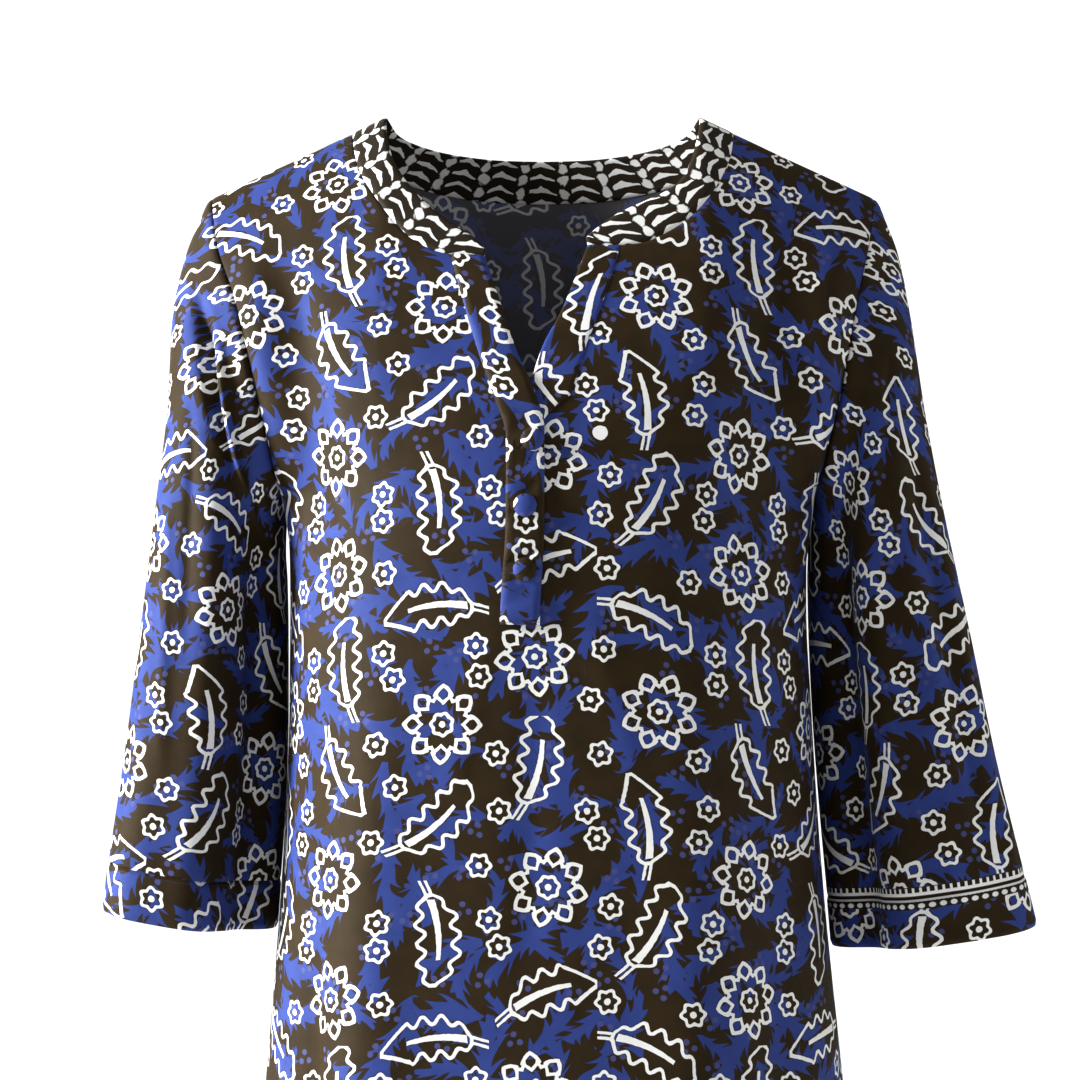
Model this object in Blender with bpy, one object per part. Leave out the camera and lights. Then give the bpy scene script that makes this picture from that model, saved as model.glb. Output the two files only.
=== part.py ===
"""A-line shift dress with a banded neck, a V opening with a buttoned placket, and three-quarter sleeves.

The dress keeps the hollow form that it has when it is worn. Z is up, the front faces -Y, and the
wearer's right arm is at -X. The origin is on the mid-plane at the height of the shoulder-neck points.
Every piece of cloth is a wall through rows of points, and the rows are worked out from the tables below.
"""

import math

import bmesh
import bpy
import numpy as np
from mathutils import Vector

MM = 0.001
WALL = 1.4 * MM  # cloth with its seam allowance
STRIP = 1.0 * MM  # the strips sewn on beside the opening
GAP = 0.3 * MM  # between two pieces at a seam

# The cut, in metres.
LENGTH = 0.96  # shoulder-neck point to hem
NECK_HALF = 0.101
SEAM_HALF = 0.1226  # where the neck band's seam crosses the shoulder
TIP_HALF = 0.213  # shoulder tip
SHOULDER_FALL = 0.473  # metres down for each metre out
BACK_NECK_RISE = 0.050  # how far the back's ridge line rises at the centre
UNDERARM = -0.250
PLACKET_END = -0.3245
SIDES = {"right": -1, "left": 1}  # the wearer's sides, with the sign of X


def shoulder_height(x):
    """Height of the shoulder line at a distance from the centre."""
    return -SHOULDER_FALL * (x - NECK_HALF)


# How deep the cloth lies in front of and behind the shoulder line.
# drop below the line, front depth, back depth
DEPTHS = np.array(
    [
        (0.000, 0.000, 0.000),
        (0.010, 0.020, 0.018),
        (0.025, 0.034, 0.031),
        (0.050, 0.052, 0.047),
        (0.090, 0.073, 0.064),
        (0.140, 0.093, 0.083),
        (0.200, 0.112, 0.096),
        (0.260, 0.125, 0.103),
        (0.320, 0.130, 0.107),
        (0.450, 0.134, 0.112),
        (0.600, 0.139, 0.121),
        (0.960, 0.151, 0.140),
    ]
)

# How wide the closed form is. Above the underarm it is the width that the surface would close at.
# height, half width on the wearer's right, half width on the wearer's left, squareness
WIDTHS = np.array(
    [
        (-0.960, 0.2150, 0.2230, 2.6),
        (-0.620, 0.1770, 0.1916, 2.7),
        (-0.505, 0.1675, 0.1795, 2.8),
        (-0.440, 0.1636, 0.1744, 2.8),
        (-0.376, 0.1614, 0.1706, 2.8),
        (-0.320, 0.1612, 0.1680, 2.7),
        (UNDERARM, 0.1630, 0.1685, 2.6),
        (-0.220, 0.1790, 0.1860, 2.5),
        (-0.190, 0.2050, 0.2110, 2.4),
        (-0.160, 0.2320, 0.2370, 2.4),
        (-0.125, 0.2620, 0.2650, 2.3),
        (-0.090, 0.2850, 0.2860, 2.3),
        (-0.050, 0.3000, 0.3000, 2.3),
        (0.030, 0.3200, 0.3200, 2.3),
    ]
)

# The armhole seam, from the underarm up to the shoulder tip.
# height, X on the right front, X on the left front, X on the right back, X on the left back
ARMHOLES = np.array(
    [
        (UNDERARM, 0.1630, 0.1685, 0.1630, 0.1685),
        (-0.220, 0.1665, 0.1735, 0.1730, 0.1780),
        (-0.190, 0.1740, 0.1815, 0.1830, 0.1860),
        (-0.159, 0.1820, 0.1885, 0.1905, 0.1930),
        (-0.125, 0.1916, 0.1960, 0.1985, 0.1990),
        (-0.087, 0.2060, 0.2060, 0.2070, 0.2070),
        (shoulder_height(TIP_HALF), TIP_HALF, TIP_HALF, TIP_HALF, TIP_HALF),
    ]
)

# The front neck, from the corner of the V out to the shoulder.
# X and height of the band's free edge, X and height of its seam
NECK_FRONT = {
    "right": np.array(
        [
            (0.0352, -0.0955, 0.0358, -0.0993),
            (0.0385, -0.0905, 0.0450, -0.0990),
            (0.0500, -0.0812, 0.0620, -0.0968),
            (0.0651, -0.0703, 0.0790, -0.0890),
            (0.0766, -0.0594, 0.0920, -0.0765),
            (0.0870, -0.0464, 0.1050, -0.0590),
            (0.0955, -0.0300, 0.1150, -0.0420),
            (0.0995, -0.0120, 0.1205, -0.0240),
            (NECK_HALF, 0.0000, SEAM_HALF, shoulder_height(SEAM_HALF)),
        ]
    ),
    "left": np.array(
        [
            (0.0262, -0.0870, 0.0275, -0.0920),
            (0.0320, -0.0815, 0.0420, -0.0922),
            (0.0460, -0.0710, 0.0600, -0.0905),
            (0.0620, -0.0630, 0.0780, -0.0825),
            (0.0760, -0.0560, 0.0930, -0.0715),
            (0.0870, -0.0465, 0.1060, -0.0560),
            (0.0945, -0.0300, 0.1150, -0.0400),
            (0.0990, -0.0120, 0.1205, -0.0240),
            (NECK_HALF, 0.0000, SEAM_HALF, shoulder_height(SEAM_HALF)),
        ]
    ),
}

# The back neck, from the centre out to the shoulder, in the same columns.
NECK_BACK = np.array(
    [
        (0.0000, -0.0200, 0.0000, -0.0470),
        (0.0280, -0.0195, 0.0350, -0.0460),
        (0.0550, -0.0175, 0.0700, -0.0420),
        (0.0800, -0.0135, 0.0990, -0.0340),
        (0.0950, -0.0080, 0.1160, -0.0240),
        (NECK_HALF, 0.0000, SEAM_HALF, shoulder_height(SEAM_HALF)),
    ]
)

# The front edge of the overlapping half, from the hem up to the foot of the V.
# height, X
CENTRE = np.array(
    [(-LENGTH, 0.0040), (PLACKET_END, -0.0018), (-0.262, 0.0009), (-0.208, 0.0009), (-0.178, -0.0075)]
)

# The two edges of the V, from its foot up to the neck band.
# X, height
V_EDGE = {
    "right": np.array([(-0.0075, -0.1780), (-0.0139, -0.1645), (-0.0281, -0.1224), (-0.0358, -0.0993)]),
    "left": np.array([(-0.0075, -0.1780), (0.0000, -0.1558), (0.0116, -0.1332), (0.0275, -0.0920)]),
}

# Points on a line across the cloth, or along an armhole, before it is cut into its stretches.
FINE_ROW = 300
FINE_ARMHOLE = 400

# Rows and columns of the front and the back. Both share their rows up to the underarm.
COLUMNS = 16  # from the centre to the side
CROWDING = 1.25  # how much closer the columns stand towards the side
BAND_COLUMNS = 3
STRIP_COLUMNS = 2
ROWS_TO_PLACKET = 10
LOW_ROWS = np.concatenate([np.linspace(-LENGTH, PLACKET_END, ROWS_TO_PLACKET + 1), (-0.287, UNDERARM)])
UNDERARM_ROW = len(LOW_ROWS) - 1
ROWS_TO_V = (-0.2275, -0.205, -0.190, -0.178)
V_FOOT_ROW = UNDERARM_ROW + len(ROWS_TO_V)
V_ROWS = 4
NECK_ROWS = 8
ARMHOLE_ROWS = len(ROWS_TO_V) + V_ROWS + NECK_ROWS
BACK_CENTRE_ROWS = 6
# The row at which the neck band's seam starts.
NECK_ROW = {"front": V_FOOT_ROW + V_ROWS, "back": UNDERARM_ROW + BACK_CENTRE_ROWS}

# The strips beside the opening, on the front's own rows, from the placket's end up to the band.
# The overlap starts at the front edge. The underlap lies beneath it and comes out at the V.
# overlap's width, then the underlap's two edges (+ towards the wearer's left of the front edge)
STRIPS = np.array(
    [
        (0.0237, -0.0215, -0.0015),
        (0.0234, -0.0213, -0.0015),
        (0.0231, -0.0210, -0.0015),
        (0.0231, -0.0205, -0.0012),
        (0.0236, -0.0160, -0.0008),
        (0.0240, -0.0080, 0.0120),
        (0.0238, 0.0000, 0.0255),
        (0.0230, 0.0000, 0.0255),
        (0.0222, 0.0000, 0.0235),
        (0.0214, 0.0000, 0.0215),
        (0.0208, 0.0000, 0.0200),
    ]
)
STRIP_STAND = STRIP + GAP  # outer face above the front
OVERLAP_STAND = 2 * STRIP_STAND  # the same where the overlap lies on the underlap
RAISED_ROWS = 7

# Folds of the front and the back: soft ridges (+) and troughs (-). Each runs straight between two
# places that are given by X and height, and one that ends below the hem reaches it at full height.
# X and height at the top, X and height at the bottom, half width along the cloth, height of the fold
FOLDS = {
    "front": np.array(
        [
            (-0.186, -0.070, -0.152, -0.300, 0.016, 0.0050),
            (-0.165, -0.080, -0.128, -0.330, 0.018, -0.0060),
            (-0.104, -0.240, -0.112, -1.150, 0.026, 0.0065),
            (-0.138, -0.400, -0.152, -1.150, 0.016, -0.0050),
            (-0.045, -0.520, -0.055, -1.300, 0.042, -0.0080),
            (0.030, -0.600, 0.036, -1.300, 0.045, 0.0080),
            (0.092, -0.250, 0.100, -1.150, 0.028, 0.0060),
            (0.140, -0.330, 0.158, -1.150, 0.018, -0.0055),
            (0.182, -0.060, 0.156, -0.320, 0.018, 0.0070),
            (0.152, -0.060, 0.118, -0.330, 0.022, -0.0050),
        ]
    ),
    "back": np.array(
        [
            (-0.150, -0.140, -0.148, -0.480, 0.018, -0.0060),
            (-0.095, -0.200, -0.112, -1.200, 0.032, 0.0075),
            (-0.010, -0.420, -0.012, -1.300, 0.050, -0.0090),
            (0.085, -0.200, 0.105, -1.200, 0.034, 0.0075),
            (0.156, -0.150, 0.152, -0.520, 0.018, -0.0060),
            (0.150, -0.560, 0.165, -1.300, 0.030, -0.0070),
            (-0.145, -0.600, -0.160, -1.300, 0.030, -0.0070),
        ]
    ),
}
FOLD_ENDS = 0.3  # the share of a fold's length over which it rises at each end
SEAM_CALM = 0.022  # folds die away over this distance from a side seam or the shoulder seam
NECK_CALM = 0.080  # and over this distance from the shoulder-neck point

# The sleeves, ring by ring from the armhole down to the hem. The last stretch is the hem band.
# outer X, Y and height, inner X, Y and height, half depth
SLEEVES = {
    "right": np.array(
        [
            (TIP_HALF, 0.000, shoulder_height(TIP_HALF), 0.1630, 0.000, UNDERARM, 0.0560),
            (0.2290, -0.006, -0.0900, 0.1660, 0.000, -0.2640, 0.0565),
            (0.2365, -0.012, -0.1300, 0.1660, 0.002, -0.2800, 0.0560),
            (0.2385, -0.018, -0.1850, 0.1655, 0.005, -0.3020, 0.0550),
            (0.2450, -0.026, -0.2500, 0.1650, 0.007, -0.3350, 0.0530),
            (0.2540, -0.032, -0.3300, 0.1650, 0.008, -0.3850, 0.0515),
            (0.2635, -0.037, -0.4100, 0.1668, 0.008, -0.4450, 0.0505),
            (0.2725, -0.040, -0.4740, 0.1700, 0.008, -0.4925, 0.0500),
            (0.2760, -0.041, -0.5045, 0.1722, 0.008, -0.5235, 0.0500),
        ]
    ),
    "left": np.array(
        [
            (TIP_HALF, 0.000, shoulder_height(TIP_HALF), 0.1685, 0.000, UNDERARM, 0.0560),
            (0.2275, -0.008, -0.0900, 0.1708, 0.000, -0.2640, 0.0565),
            (0.2340, -0.016, -0.1300, 0.1710, 0.002, -0.2800, 0.0560),
            (0.2405, -0.026, -0.1850, 0.1713, 0.004, -0.3020, 0.0550),
            (0.2510, -0.036, -0.2500, 0.1720, 0.005, -0.3350, 0.0530),
            (0.2665, -0.047, -0.3300, 0.1742, 0.004, -0.3850, 0.0510),
            (0.2815, -0.057, -0.4100, 0.1782, 0.000, -0.4450, 0.0490),
            (0.2975, -0.065, -0.4800, 0.1828, -0.005, -0.5020, 0.0470),
            (0.3045, -0.067, -0.5100, 0.1852, -0.007, -0.5330, 0.0465),
        ]
    ),
}
SLEEVE_ROWS = 12
CUFF_ROWS = 2
BLEND_STATIONS = 3.0  # table rows over which the armhole's own outline fades into a rounded ring

# Folds of the sleeves. The angle goes round the sleeve: 0 outside, 90 front, 180 inside, 270 back.
# angle and table row at the top, the same at the bottom, half width, height of the fold
SLEEVE_FOLDS = {
    "right": np.array(
        [
            (46, 0.6, 104, 2.4, 13, -0.0090),
            (68, 0.6, 126, 2.6, 12, 0.0060),
            (90, 1.9, 97, 10.0, 17, 0.0085),
            (136, 1.6, 138, 10.0, 20, -0.0110),
            (236, 1.5, 226, 10.0, 22, -0.0055),
            (288, 2.0, 270, 10.0, 20, 0.0045),
        ]
    ),
    "left": np.array(
        [
            (94, 0.8, 104, 10.0, 17, 0.0080),
            (132, 0.5, 142, 10.0, 18, -0.0120),
            (54, 2.4, 50, 7.5, 11, -0.0045),
            (70, 2.0, 68, 8.5, 12, 0.0030),
            (238, 1.5, 230, 10.0, 22, -0.0055),
            (292, 2.0, 280, 10.0, 20, 0.0045),
        ]
    ),
}

# The cloth-covered buttons: distance from the front edge, height.
BUTTONS = {
    "button_top": (0.0075, -0.2135),
    "button_middle": (0.0115, -0.2540),
    "button_low": (0.0105, -0.2920),
}
BUTTON_STAND = 0.4 * MM  # between the button and the placket
BUTTON_SIDES = 20
# radius and height of the dome's rings, in millimetres
BUTTON_PROFILE = ((6.0, 0.0), (6.9, 0.7), (7.0, 1.6), (6.2, 2.9), (4.4, 3.9), (2.2, 4.4))

TORSO_MIDDLE = np.array((0.0, 0.0, -0.4))
SAME_POINT = 1e-7
SHARP_FROM = math.radians(50)
CLOTH_COLOUR = (0.030, 0.038, 0.150, 1.0)
BAND_COLOUR = (0.035, 0.028, 0.024, 1.0)
BUTTON_COLOUR = (0.022, 0.018, 0.030, 1.0)


def smooth(xs, ys, x):
    """A monotone cubic curve through the points (xs, ys), read at x."""
    step = np.diff(xs)
    slope = np.diff(ys) / step
    same_way = slope[:-1] * slope[1:] > 0
    total = np.where(same_way, slope[:-1] + slope[1:], 1.0)
    middle = np.where(same_way, 2 * slope[:-1] * slope[1:] / total, 0.0)
    tangent = np.concatenate(([slope[0]], middle, [slope[-1]]))
    x = np.clip(x, xs[0], xs[-1])
    i = np.clip(np.searchsorted(xs, x, side="right") - 1, 0, len(step) - 1)
    t = (x - xs[i]) / step[i]
    ends = ys[i] * (1 + 2 * t) * (1 - t) ** 2 + ys[i + 1] * t**2 * (3 - 2 * t)
    return ends + step[i] * t * (1 - t) * (tangent[i] * (1 - t) - tangent[i + 1] * t)


def read(table, column, value):
    """One column of a table, read smoothly at a value of its first column."""
    return smooth(table[:, 0], table[:, column], value)


def along(table, places):
    """All columns of a table, read smoothly at places counted in rows from its first."""
    rows = np.arange(len(table), dtype=float)
    return np.stack([smooth(rows, column, places) for column in table.T], axis=-1)


def spread(table, count):
    """Places that cut a table's length into count stretches."""
    return np.linspace(0, len(table) - 1, count + 1)


def ease(x):
    """A smooth step from 0 to 1."""
    x = np.clip(x, 0.0, 1.0)
    return x * x * (3 - 2 * x)


def unit(vectors):
    return vectors / np.linalg.norm(vectors, axis=-1, keepdims=True)


def lengths(points):
    """Distance of each point from the first, along the line that they make."""
    return np.concatenate(([0.0], np.cumsum(np.linalg.norm(np.diff(points, axis=0), axis=1))))


def cut(points, count, crowding=1.0):
    """The line through the points, cut into count stretches that are equal or crowd towards its end."""
    run = lengths(points)
    places = run[-1] * (1 - (1 - np.linspace(0, 1, count + 1)) ** crowding)
    return np.stack([np.interp(places, run, axis) for axis in points.T], axis=-1)


def width_at(side, z):
    return read(WIDTHS, 1 if side == "right" else 2, z)


def torso(x, z, face):
    """The torso's cloth at (x, z), on the front for face "front" and on the back for face "back"."""
    reach = np.abs(x)
    neck_rise = BACK_NECK_RISE if face == "back" else 0.0
    inside_neck = neck_rise * (1 - (reach / NECK_HALF) ** 2)
    ridge = np.where(reach < NECK_HALF, inside_neck, shoulder_height(reach))
    drop = np.maximum(ridge - z, 0.0)
    depth = smooth(np.sqrt(DEPTHS[:, 0]), DEPTHS[:, 1 if face == "front" else 2], np.sqrt(drop))
    ratio = reach / np.where(x < 0, width_at("right", z), width_at("left", z))
    power = read(WIDTHS, 3, z)
    open_side = ratio < 1 - SAME_POINT
    roundness = np.where(open_side, (1 - np.minimum(ratio, 1.0) ** power) ** (1 / power), 0.0)
    return np.stack([x, (-depth if face == "front" else depth) * roundness, z], axis=-1)


def centre_x(z):
    return read(CENTRE, 1, z)


def armhole_edge(side, face):
    """Points (x, z) of the armhole seam, evenly spaced from the underarm to the shoulder tip."""
    column = 1 + (side == "left") + 2 * (face == "back")
    sweep = (1 - np.cos(np.linspace(0, math.pi, FINE_ARMHOLE))) / 2
    z = ARMHOLES[0, 0] + (ARMHOLES[-1, 0] - ARMHOLES[0, 0]) * sweep
    x = SIDES[side] * read(ARMHOLES, column, z)
    return cut(torso(x, z, face), ARMHOLE_ROWS)[:, [0, 2]]


def inner_edge(side, face):
    """Points (x, z) where the rows above the underarm start: up the centre, then round the opening."""
    if face == "back":
        heights = np.linspace(UNDERARM, NECK_BACK[0, 3], BACK_CENTRE_ROWS + 1)[1:]
        centre = [(0.0, z) for z in heights]
        neck = along(NECK_BACK, spread(NECK_BACK, ARMHOLE_ROWS - BACK_CENTRE_ROWS))[1:, 2:]
        return np.concatenate([centre, neck * (SIDES[side], 1)])
    centre = [(centre_x(z), z) for z in ROWS_TO_V]
    opening = along(V_EDGE[side], spread(V_EDGE[side], V_ROWS))[1:]
    neck = along(NECK_FRONT[side], spread(NECK_FRONT[side], NECK_ROWS))[1:, 2:]
    return np.concatenate([centre, opening, neck * (SIDES[side], 1)])


def row(start, end, face):
    """One row of the torso's cloth from start to end, both (x, z)."""
    sweep = 1 - (1 - np.linspace(0, 1, FINE_ROW)) ** 3
    x = start[0] + (end[0] - start[0]) * sweep
    z = start[1] + (end[1] - start[1]) * sweep
    return cut(torso(x, z, face), COLUMNS, CROWDING)


def half(side, face):
    """Half of the front or the back: rows from the hem up, columns from the centre to the side."""
    rows = []
    for z in LOW_ROWS:
        start = (centre_x(z) if face == "front" else 0.0, z)
        rows.append(row(start, (SIDES[side] * width_at(side, z), z), face))
    for start, end in zip(inner_edge(side, face), armhole_edge(side, face)[1:]):
        rows.append(row(start, end, face))
    return np.array(rows)


def band_patch(table, side, face, stations):
    """The neck band beside one half: rows along the neck, columns from the seam to the free edge."""
    across = np.linspace(0, 1, BAND_COLUMNS + 1)
    lines = []
    for free_x, free_z, seam_x, seam_z in along(table, spread(table, stations)):
        x = SIDES[side] * (seam_x + (free_x - seam_x) * across)
        z = seam_z + (free_z - seam_z) * across
        lines.append(torso(x, z, face))
    return np.array(lines)


def risen(t):
    """How far a fold has risen at a share t of its length: 0 at its ends and 1 between them."""
    return ease(t / FOLD_ENDS) * ease((1 - t) / FOLD_ENDS)


def fold_lift(folds, line, run, side):
    """How far the folds lift one row of the cloth. Run is each point's distance from its first."""
    lift = np.zeros(len(line))
    for top_x, top_z, low_x, low_z, half_width, height in folds:
        t = (top_z - line[:, 2]) / (top_z - low_z)
        past = SIDES[side] * (line[:, 0] - (top_x + (low_x - top_x) * t))
        middle = np.interp(0.0, past, run, -past[0], run[-1] - past[-1])
        lift += height * np.exp(-(((run - middle) / half_width) ** 2)) * risen(t)
    return lift


def folded(patch, normals, side, face):
    """The half with its folds, which die away at its side seam and its shoulder seam."""
    lifted = patch.copy()
    underarm = patch[UNDERARM_ROW, -1]
    for index, line in enumerate(patch):
        run = lengths(line)
        if index <= UNDERARM_ROW:
            calm = ease((run[-1] - run) / SEAM_CALM)
        else:
            calm = ease(np.linalg.norm(line - underarm, axis=-1) / SEAM_CALM)
            calm *= ease(np.linalg.norm(line - patch[-1], axis=-1) / SEAM_CALM)
        calm *= ease(np.linalg.norm(line - patch[-1, 0], axis=-1) / NECK_CALM)
        lift = fold_lift(FOLDS[face], line, run, side) * calm
        lifted[index] += lift[:, None] * normals[index]
    return lifted


def key(point):
    """The same whole numbers for points that coincide."""
    return tuple(int(number) for number in np.round(point / SAME_POINT))


def normals_of(patches, middle):
    """Outward normals of grids of points round a middle, the same wherever two grids meet."""
    total = {}
    for patch in patches.values():
        faces = np.cross(patch[1:, 1:] - patch[:-1, :-1], patch[:-1, 1:] - patch[1:, :-1])
        centres = (patch[1:, 1:] + patch[:-1, :-1]) / 2
        if (faces * (centres - middle)).sum() < 0:
            faces = -faces
        for r, c in np.ndindex(faces.shape[:2]):
            for corner in {key(point) for point in patch[r : r + 2, c : c + 2].reshape(4, 3)}:
                total[corner] = total.get(corner, 0.0) + faces[r, c]
    return {
        name: unit(np.array([[total[key(point)] for point in line] for line in patch]))
        for name, patch in patches.items()
    }


def inward(edge, normals, neighbours, closed=False):
    """Directions in the cloth, square to an edge and towards the line of points beside it."""
    if closed:
        line = np.concatenate([edge[-2:-1], edge, edge[1:2]])
        tangent = line[2:] - line[:-2]
    else:
        tangent = np.gradient(edge, axis=0)
    square = unit(np.cross(normals, tangent))
    return square * np.sign((square * (neighbours - edge)).sum())


def pull_in(points, normals, rows, columns, closed=False):
    """Move one edge of a grid half a gap inwards. Rows or columns is 0 or -1, and the other is a run."""
    beside = {0: 1, -1: -2}
    if isinstance(columns, int):
        neighbours = points[rows, beside[columns]]
    else:
        neighbours = points[beside[rows], columns]
    edge = points[rows, columns]
    points[rows, columns] = edge + inward(edge, normals[rows, columns], neighbours, closed) * GAP / 2


def torso_grids():
    """The grids of the torso, with their folds, and their normals."""
    patches = {}
    for side in SIDES:
        patches[f"front_{side}"] = half(side, "front")
        patches[f"back_{side}"] = half(side, "back")
        patches[f"front_band_{side}"] = band_patch(NECK_FRONT[side], side, "front", NECK_ROWS)
        patches[f"back_band_{side}"] = band_patch(NECK_BACK, side, "back", ARMHOLE_ROWS - BACK_CENTRE_ROWS)
    plain = normals_of(patches, TORSO_MIDDLE)
    for side in SIDES:
        for face in FOLDS:
            name = f"{face}_{side}"
            patches[name] = folded(patches[name], plain[name], side, face)
    return patches, normals_of(patches, TORSO_MIDDLE)


def on_line(points, normals, places, zero=0.0):
    """Points and normals at distances along a line of points, whose first point is at zero."""
    run = lengths(points) + zero
    place = [np.interp(places, run, axis) for axis in points.T]
    facing = [np.interp(places, run, axis) for axis in normals.T]
    return np.stack(place, axis=-1), unit(np.stack(facing, axis=-1))


def on_front(patches, normals, index, places):
    """Points and normals on one row of the front, at distances from the front edge."""
    right, left = patches["front_right"][index], patches["front_left"][index]
    points = np.concatenate([right[::-1], left[1:]])
    facing = np.concatenate([normals["front_right"][index][::-1], normals["front_left"][index][1:]])
    return on_line(points, facing, places, -lengths(right)[-1])


def strip_sheet(patches, normals, side, edges):
    """A strip beside the opening, on the front's rows. Edges are the distances of its two edges."""
    name = f"front_{side}"
    sign = SIDES[side]
    sheet = []
    for step, (start, end) in enumerate(edges):
        index = ROWS_TO_PLACKET + step
        places = np.linspace(start, end, STRIP_COLUMNS + 1)
        if index <= V_FOOT_ROW:
            sheet.append(on_front(patches, normals, index, places))
        else:
            sheet.append(on_line(patches[name][index], normals[name][index], places * sign))
    seam = slice(NECK_ROW["front"], None)
    sheet.append(on_line(patches[name][seam, 0], normals[name][seam, 0], places * sign))
    return np.array([points for points, _ in sheet]), np.array([facing for _, facing in sheet])


def cloth_material(name, colour, roughness):
    made = bpy.data.materials.new(name)
    made.use_nodes = True
    shader = made.node_tree.nodes["Principled BSDF"]
    shader.inputs["Base Color"].default_value = colour
    shader.inputs["Roughness"].default_value = roughness
    shader.inputs["Metallic"].default_value = 0.0
    return made


def finish(mesh, name, material):
    """Turn a bmesh into the object of one piece."""
    bmesh.ops.recalc_face_normals(mesh, faces=mesh.faces)
    data = bpy.data.meshes.new(name)
    mesh.to_mesh(data)
    mesh.free()
    data.shade_smooth()
    data.set_sharp_from_angle(angle=SHARP_FROM)
    data.materials.append(material)
    piece = bpy.data.objects.new(name, data)
    bpy.context.scene.collection.objects.link(piece)
    return piece


def wall(name, sheets, thickness, material, stand=0.0):
    """A closed wall. Each sheet is (points, normals), and sheets that share points are joined there.

    The outer face stands off the points by stand, one number or one for each row. The inner face
    lies thickness below it.
    """
    mesh = bmesh.new()
    outer, inner, outline = {}, {}, {}
    for points, normals in sheets:
        raised = np.broadcast_to(stand, len(points))[:, None, None]
        top = points + raised * normals
        keys = [[key(point) for point in line] for line in points]
        for r, c in np.ndindex(points.shape[:2]):
            if keys[r][c] not in outer:
                outer[keys[r][c]] = mesh.verts.new(top[r, c])
                inner[keys[r][c]] = mesh.verts.new(top[r, c] - thickness * normals[r, c])
        for r, c in np.ndindex(points.shape[0] - 1, points.shape[1] - 1):
            loop = [keys[r][c], keys[r][c + 1], keys[r + 1][c + 1], keys[r + 1][c]]
            loop = [corner for i, corner in enumerate(loop) if corner != loop[i - 1]]
            mesh.faces.new([outer[corner] for corner in loop])
            mesh.faces.new([inner[corner] for corner in reversed(loop)])
            for edge in zip(loop, loop[1:] + loop[:1]):
                place = tuple(sorted(edge))
                outline[place] = None if place in outline else edge
    for start, end in filter(None, outline.values()):
        mesh.faces.new([outer[end], outer[start], inner[start], inner[end]])
    return finish(mesh, name, material)


def build_torso(patches, normals, material):
    """The front and the back, each one wall of two halves."""
    for face in FOLDS:
        sheets = []
        for side in SIDES:
            name = f"{face}_{side}"
            points = patches[name].copy()
            pull_in(points, normals[name], slice(0, UNDERARM_ROW + 1), -1)
            pull_in(points, normals[name], slice(NECK_ROW[face], None), 0)
            pull_in(points, normals[name], -1, slice(None))
            sheets.append((points, normals[name]))
        wall(face, sheets, WALL, material)


def band_sheet(patches, normals, name):
    points = patches[name].copy()
    pull_in(points, normals[name], slice(None), 0)
    pull_in(points, normals[name], -1, slice(None))
    return points, normals[name]


def build_neck(patches, normals, material):
    """The neck band: two fronts, and one back over both halves."""
    for side in SIDES:
        sheet = band_sheet(patches, normals, f"front_band_{side}")
        wall(f"neck_band_front_{side}", [sheet], WALL, material)
    sheets = [band_sheet(patches, normals, f"back_band_{side}") for side in SIDES]
    wall("neck_band_back", sheets, WALL, material)


def build_strips(patches, normals, material):
    """The overlap on the wearer's right and the underlap that starts at the other edge of the V."""
    overlap_edges = np.stack([np.zeros(len(STRIPS)), -STRIPS[:, 0]], axis=-1)
    overlap = strip_sheet(patches, normals, "right", overlap_edges)
    rows = np.arange(len(STRIPS) + 1)
    stand = np.where(rows < RAISED_ROWS, OVERLAP_STAND, STRIP_STAND)
    wall("placket_overlap", [overlap], STRIP, material, stand)
    underlap = strip_sheet(patches, normals, "left", STRIPS[:, 1:])
    wall("placket_underlap", [underlap], STRIP, material, STRIP_STAND)


def sleeve_rings(side, places, armhole):
    """Rings of a sleeve at places counted in rows of its table. Each starts and ends at its outside."""
    table = SLEEVES[side]
    angle = np.linspace(0, 2 * math.pi, 2 * ARMHOLE_ROWS + 1)

    def ring(place):
        values = along(table, place)
        outer, inner, half_depth = values[:3], values[3:6], values[6]
        points = (outer + inner) / 2 + np.cos(angle)[:, None] * (outer - inner) / 2
        points[:, 1] -= half_depth * np.sin(angle)
        return points * (SIDES[side], 1, 1)

    own_outline = armhole - ring(0.0)
    rings = [ring(place) + own_outline * (1 - ease(place / BLEND_STATIONS)) for place in places]
    rings = np.array(rings)
    rings[:, -1] = rings[:, 0]
    return rings


def sleeve_lift(side, places):
    """How far the folds of a sleeve lift its rings."""
    angle = np.linspace(0, 360, 2 * ARMHOLE_ROWS + 1)[None, :]
    place = places[:, None]
    lift = np.zeros((len(places), angle.shape[1]))
    for top_angle, top_place, low_angle, low_place, half_width, height in SLEEVE_FOLDS[side]:
        t = (place - top_place) / (low_place - top_place)
        middle = top_angle + (low_angle - top_angle) * t
        across = np.exp(-(((angle - middle) / half_width) ** 2))
        lift += height * across * risen(t)
    lift[:, -1] = lift[:, 0]
    return lift


def armhole_ring(patches, normals, side):
    """The armhole seam as one ring, from the shoulder tip down the front and up the back.

    It gives the points, their normals, and the directions that lead out of the torso's cloth.
    """
    rows = slice(UNDERARM_ROW, None)
    points, facing, out = [], [], []
    for face in ("front", "back"):
        name = f"{face}_{side}"
        edge, edge_normals = patches[name][rows, -1], normals[name][rows, -1]
        away = -inward(edge, edge_normals, patches[name][rows, -2])
        order = slice(None, None, -1) if face == "front" else slice(None)
        points.append(edge[order])
        facing.append(edge_normals[order])
        out.append(away[order])
    out[0][-1] = out[1][0] = unit(out[0][-1] + out[1][0])
    out[0][0] = out[1][-1] = unit(out[0][0] + out[1][-1])
    return tuple(np.concatenate([front, back[1:]]) for front, back in (points, facing, out))


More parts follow.
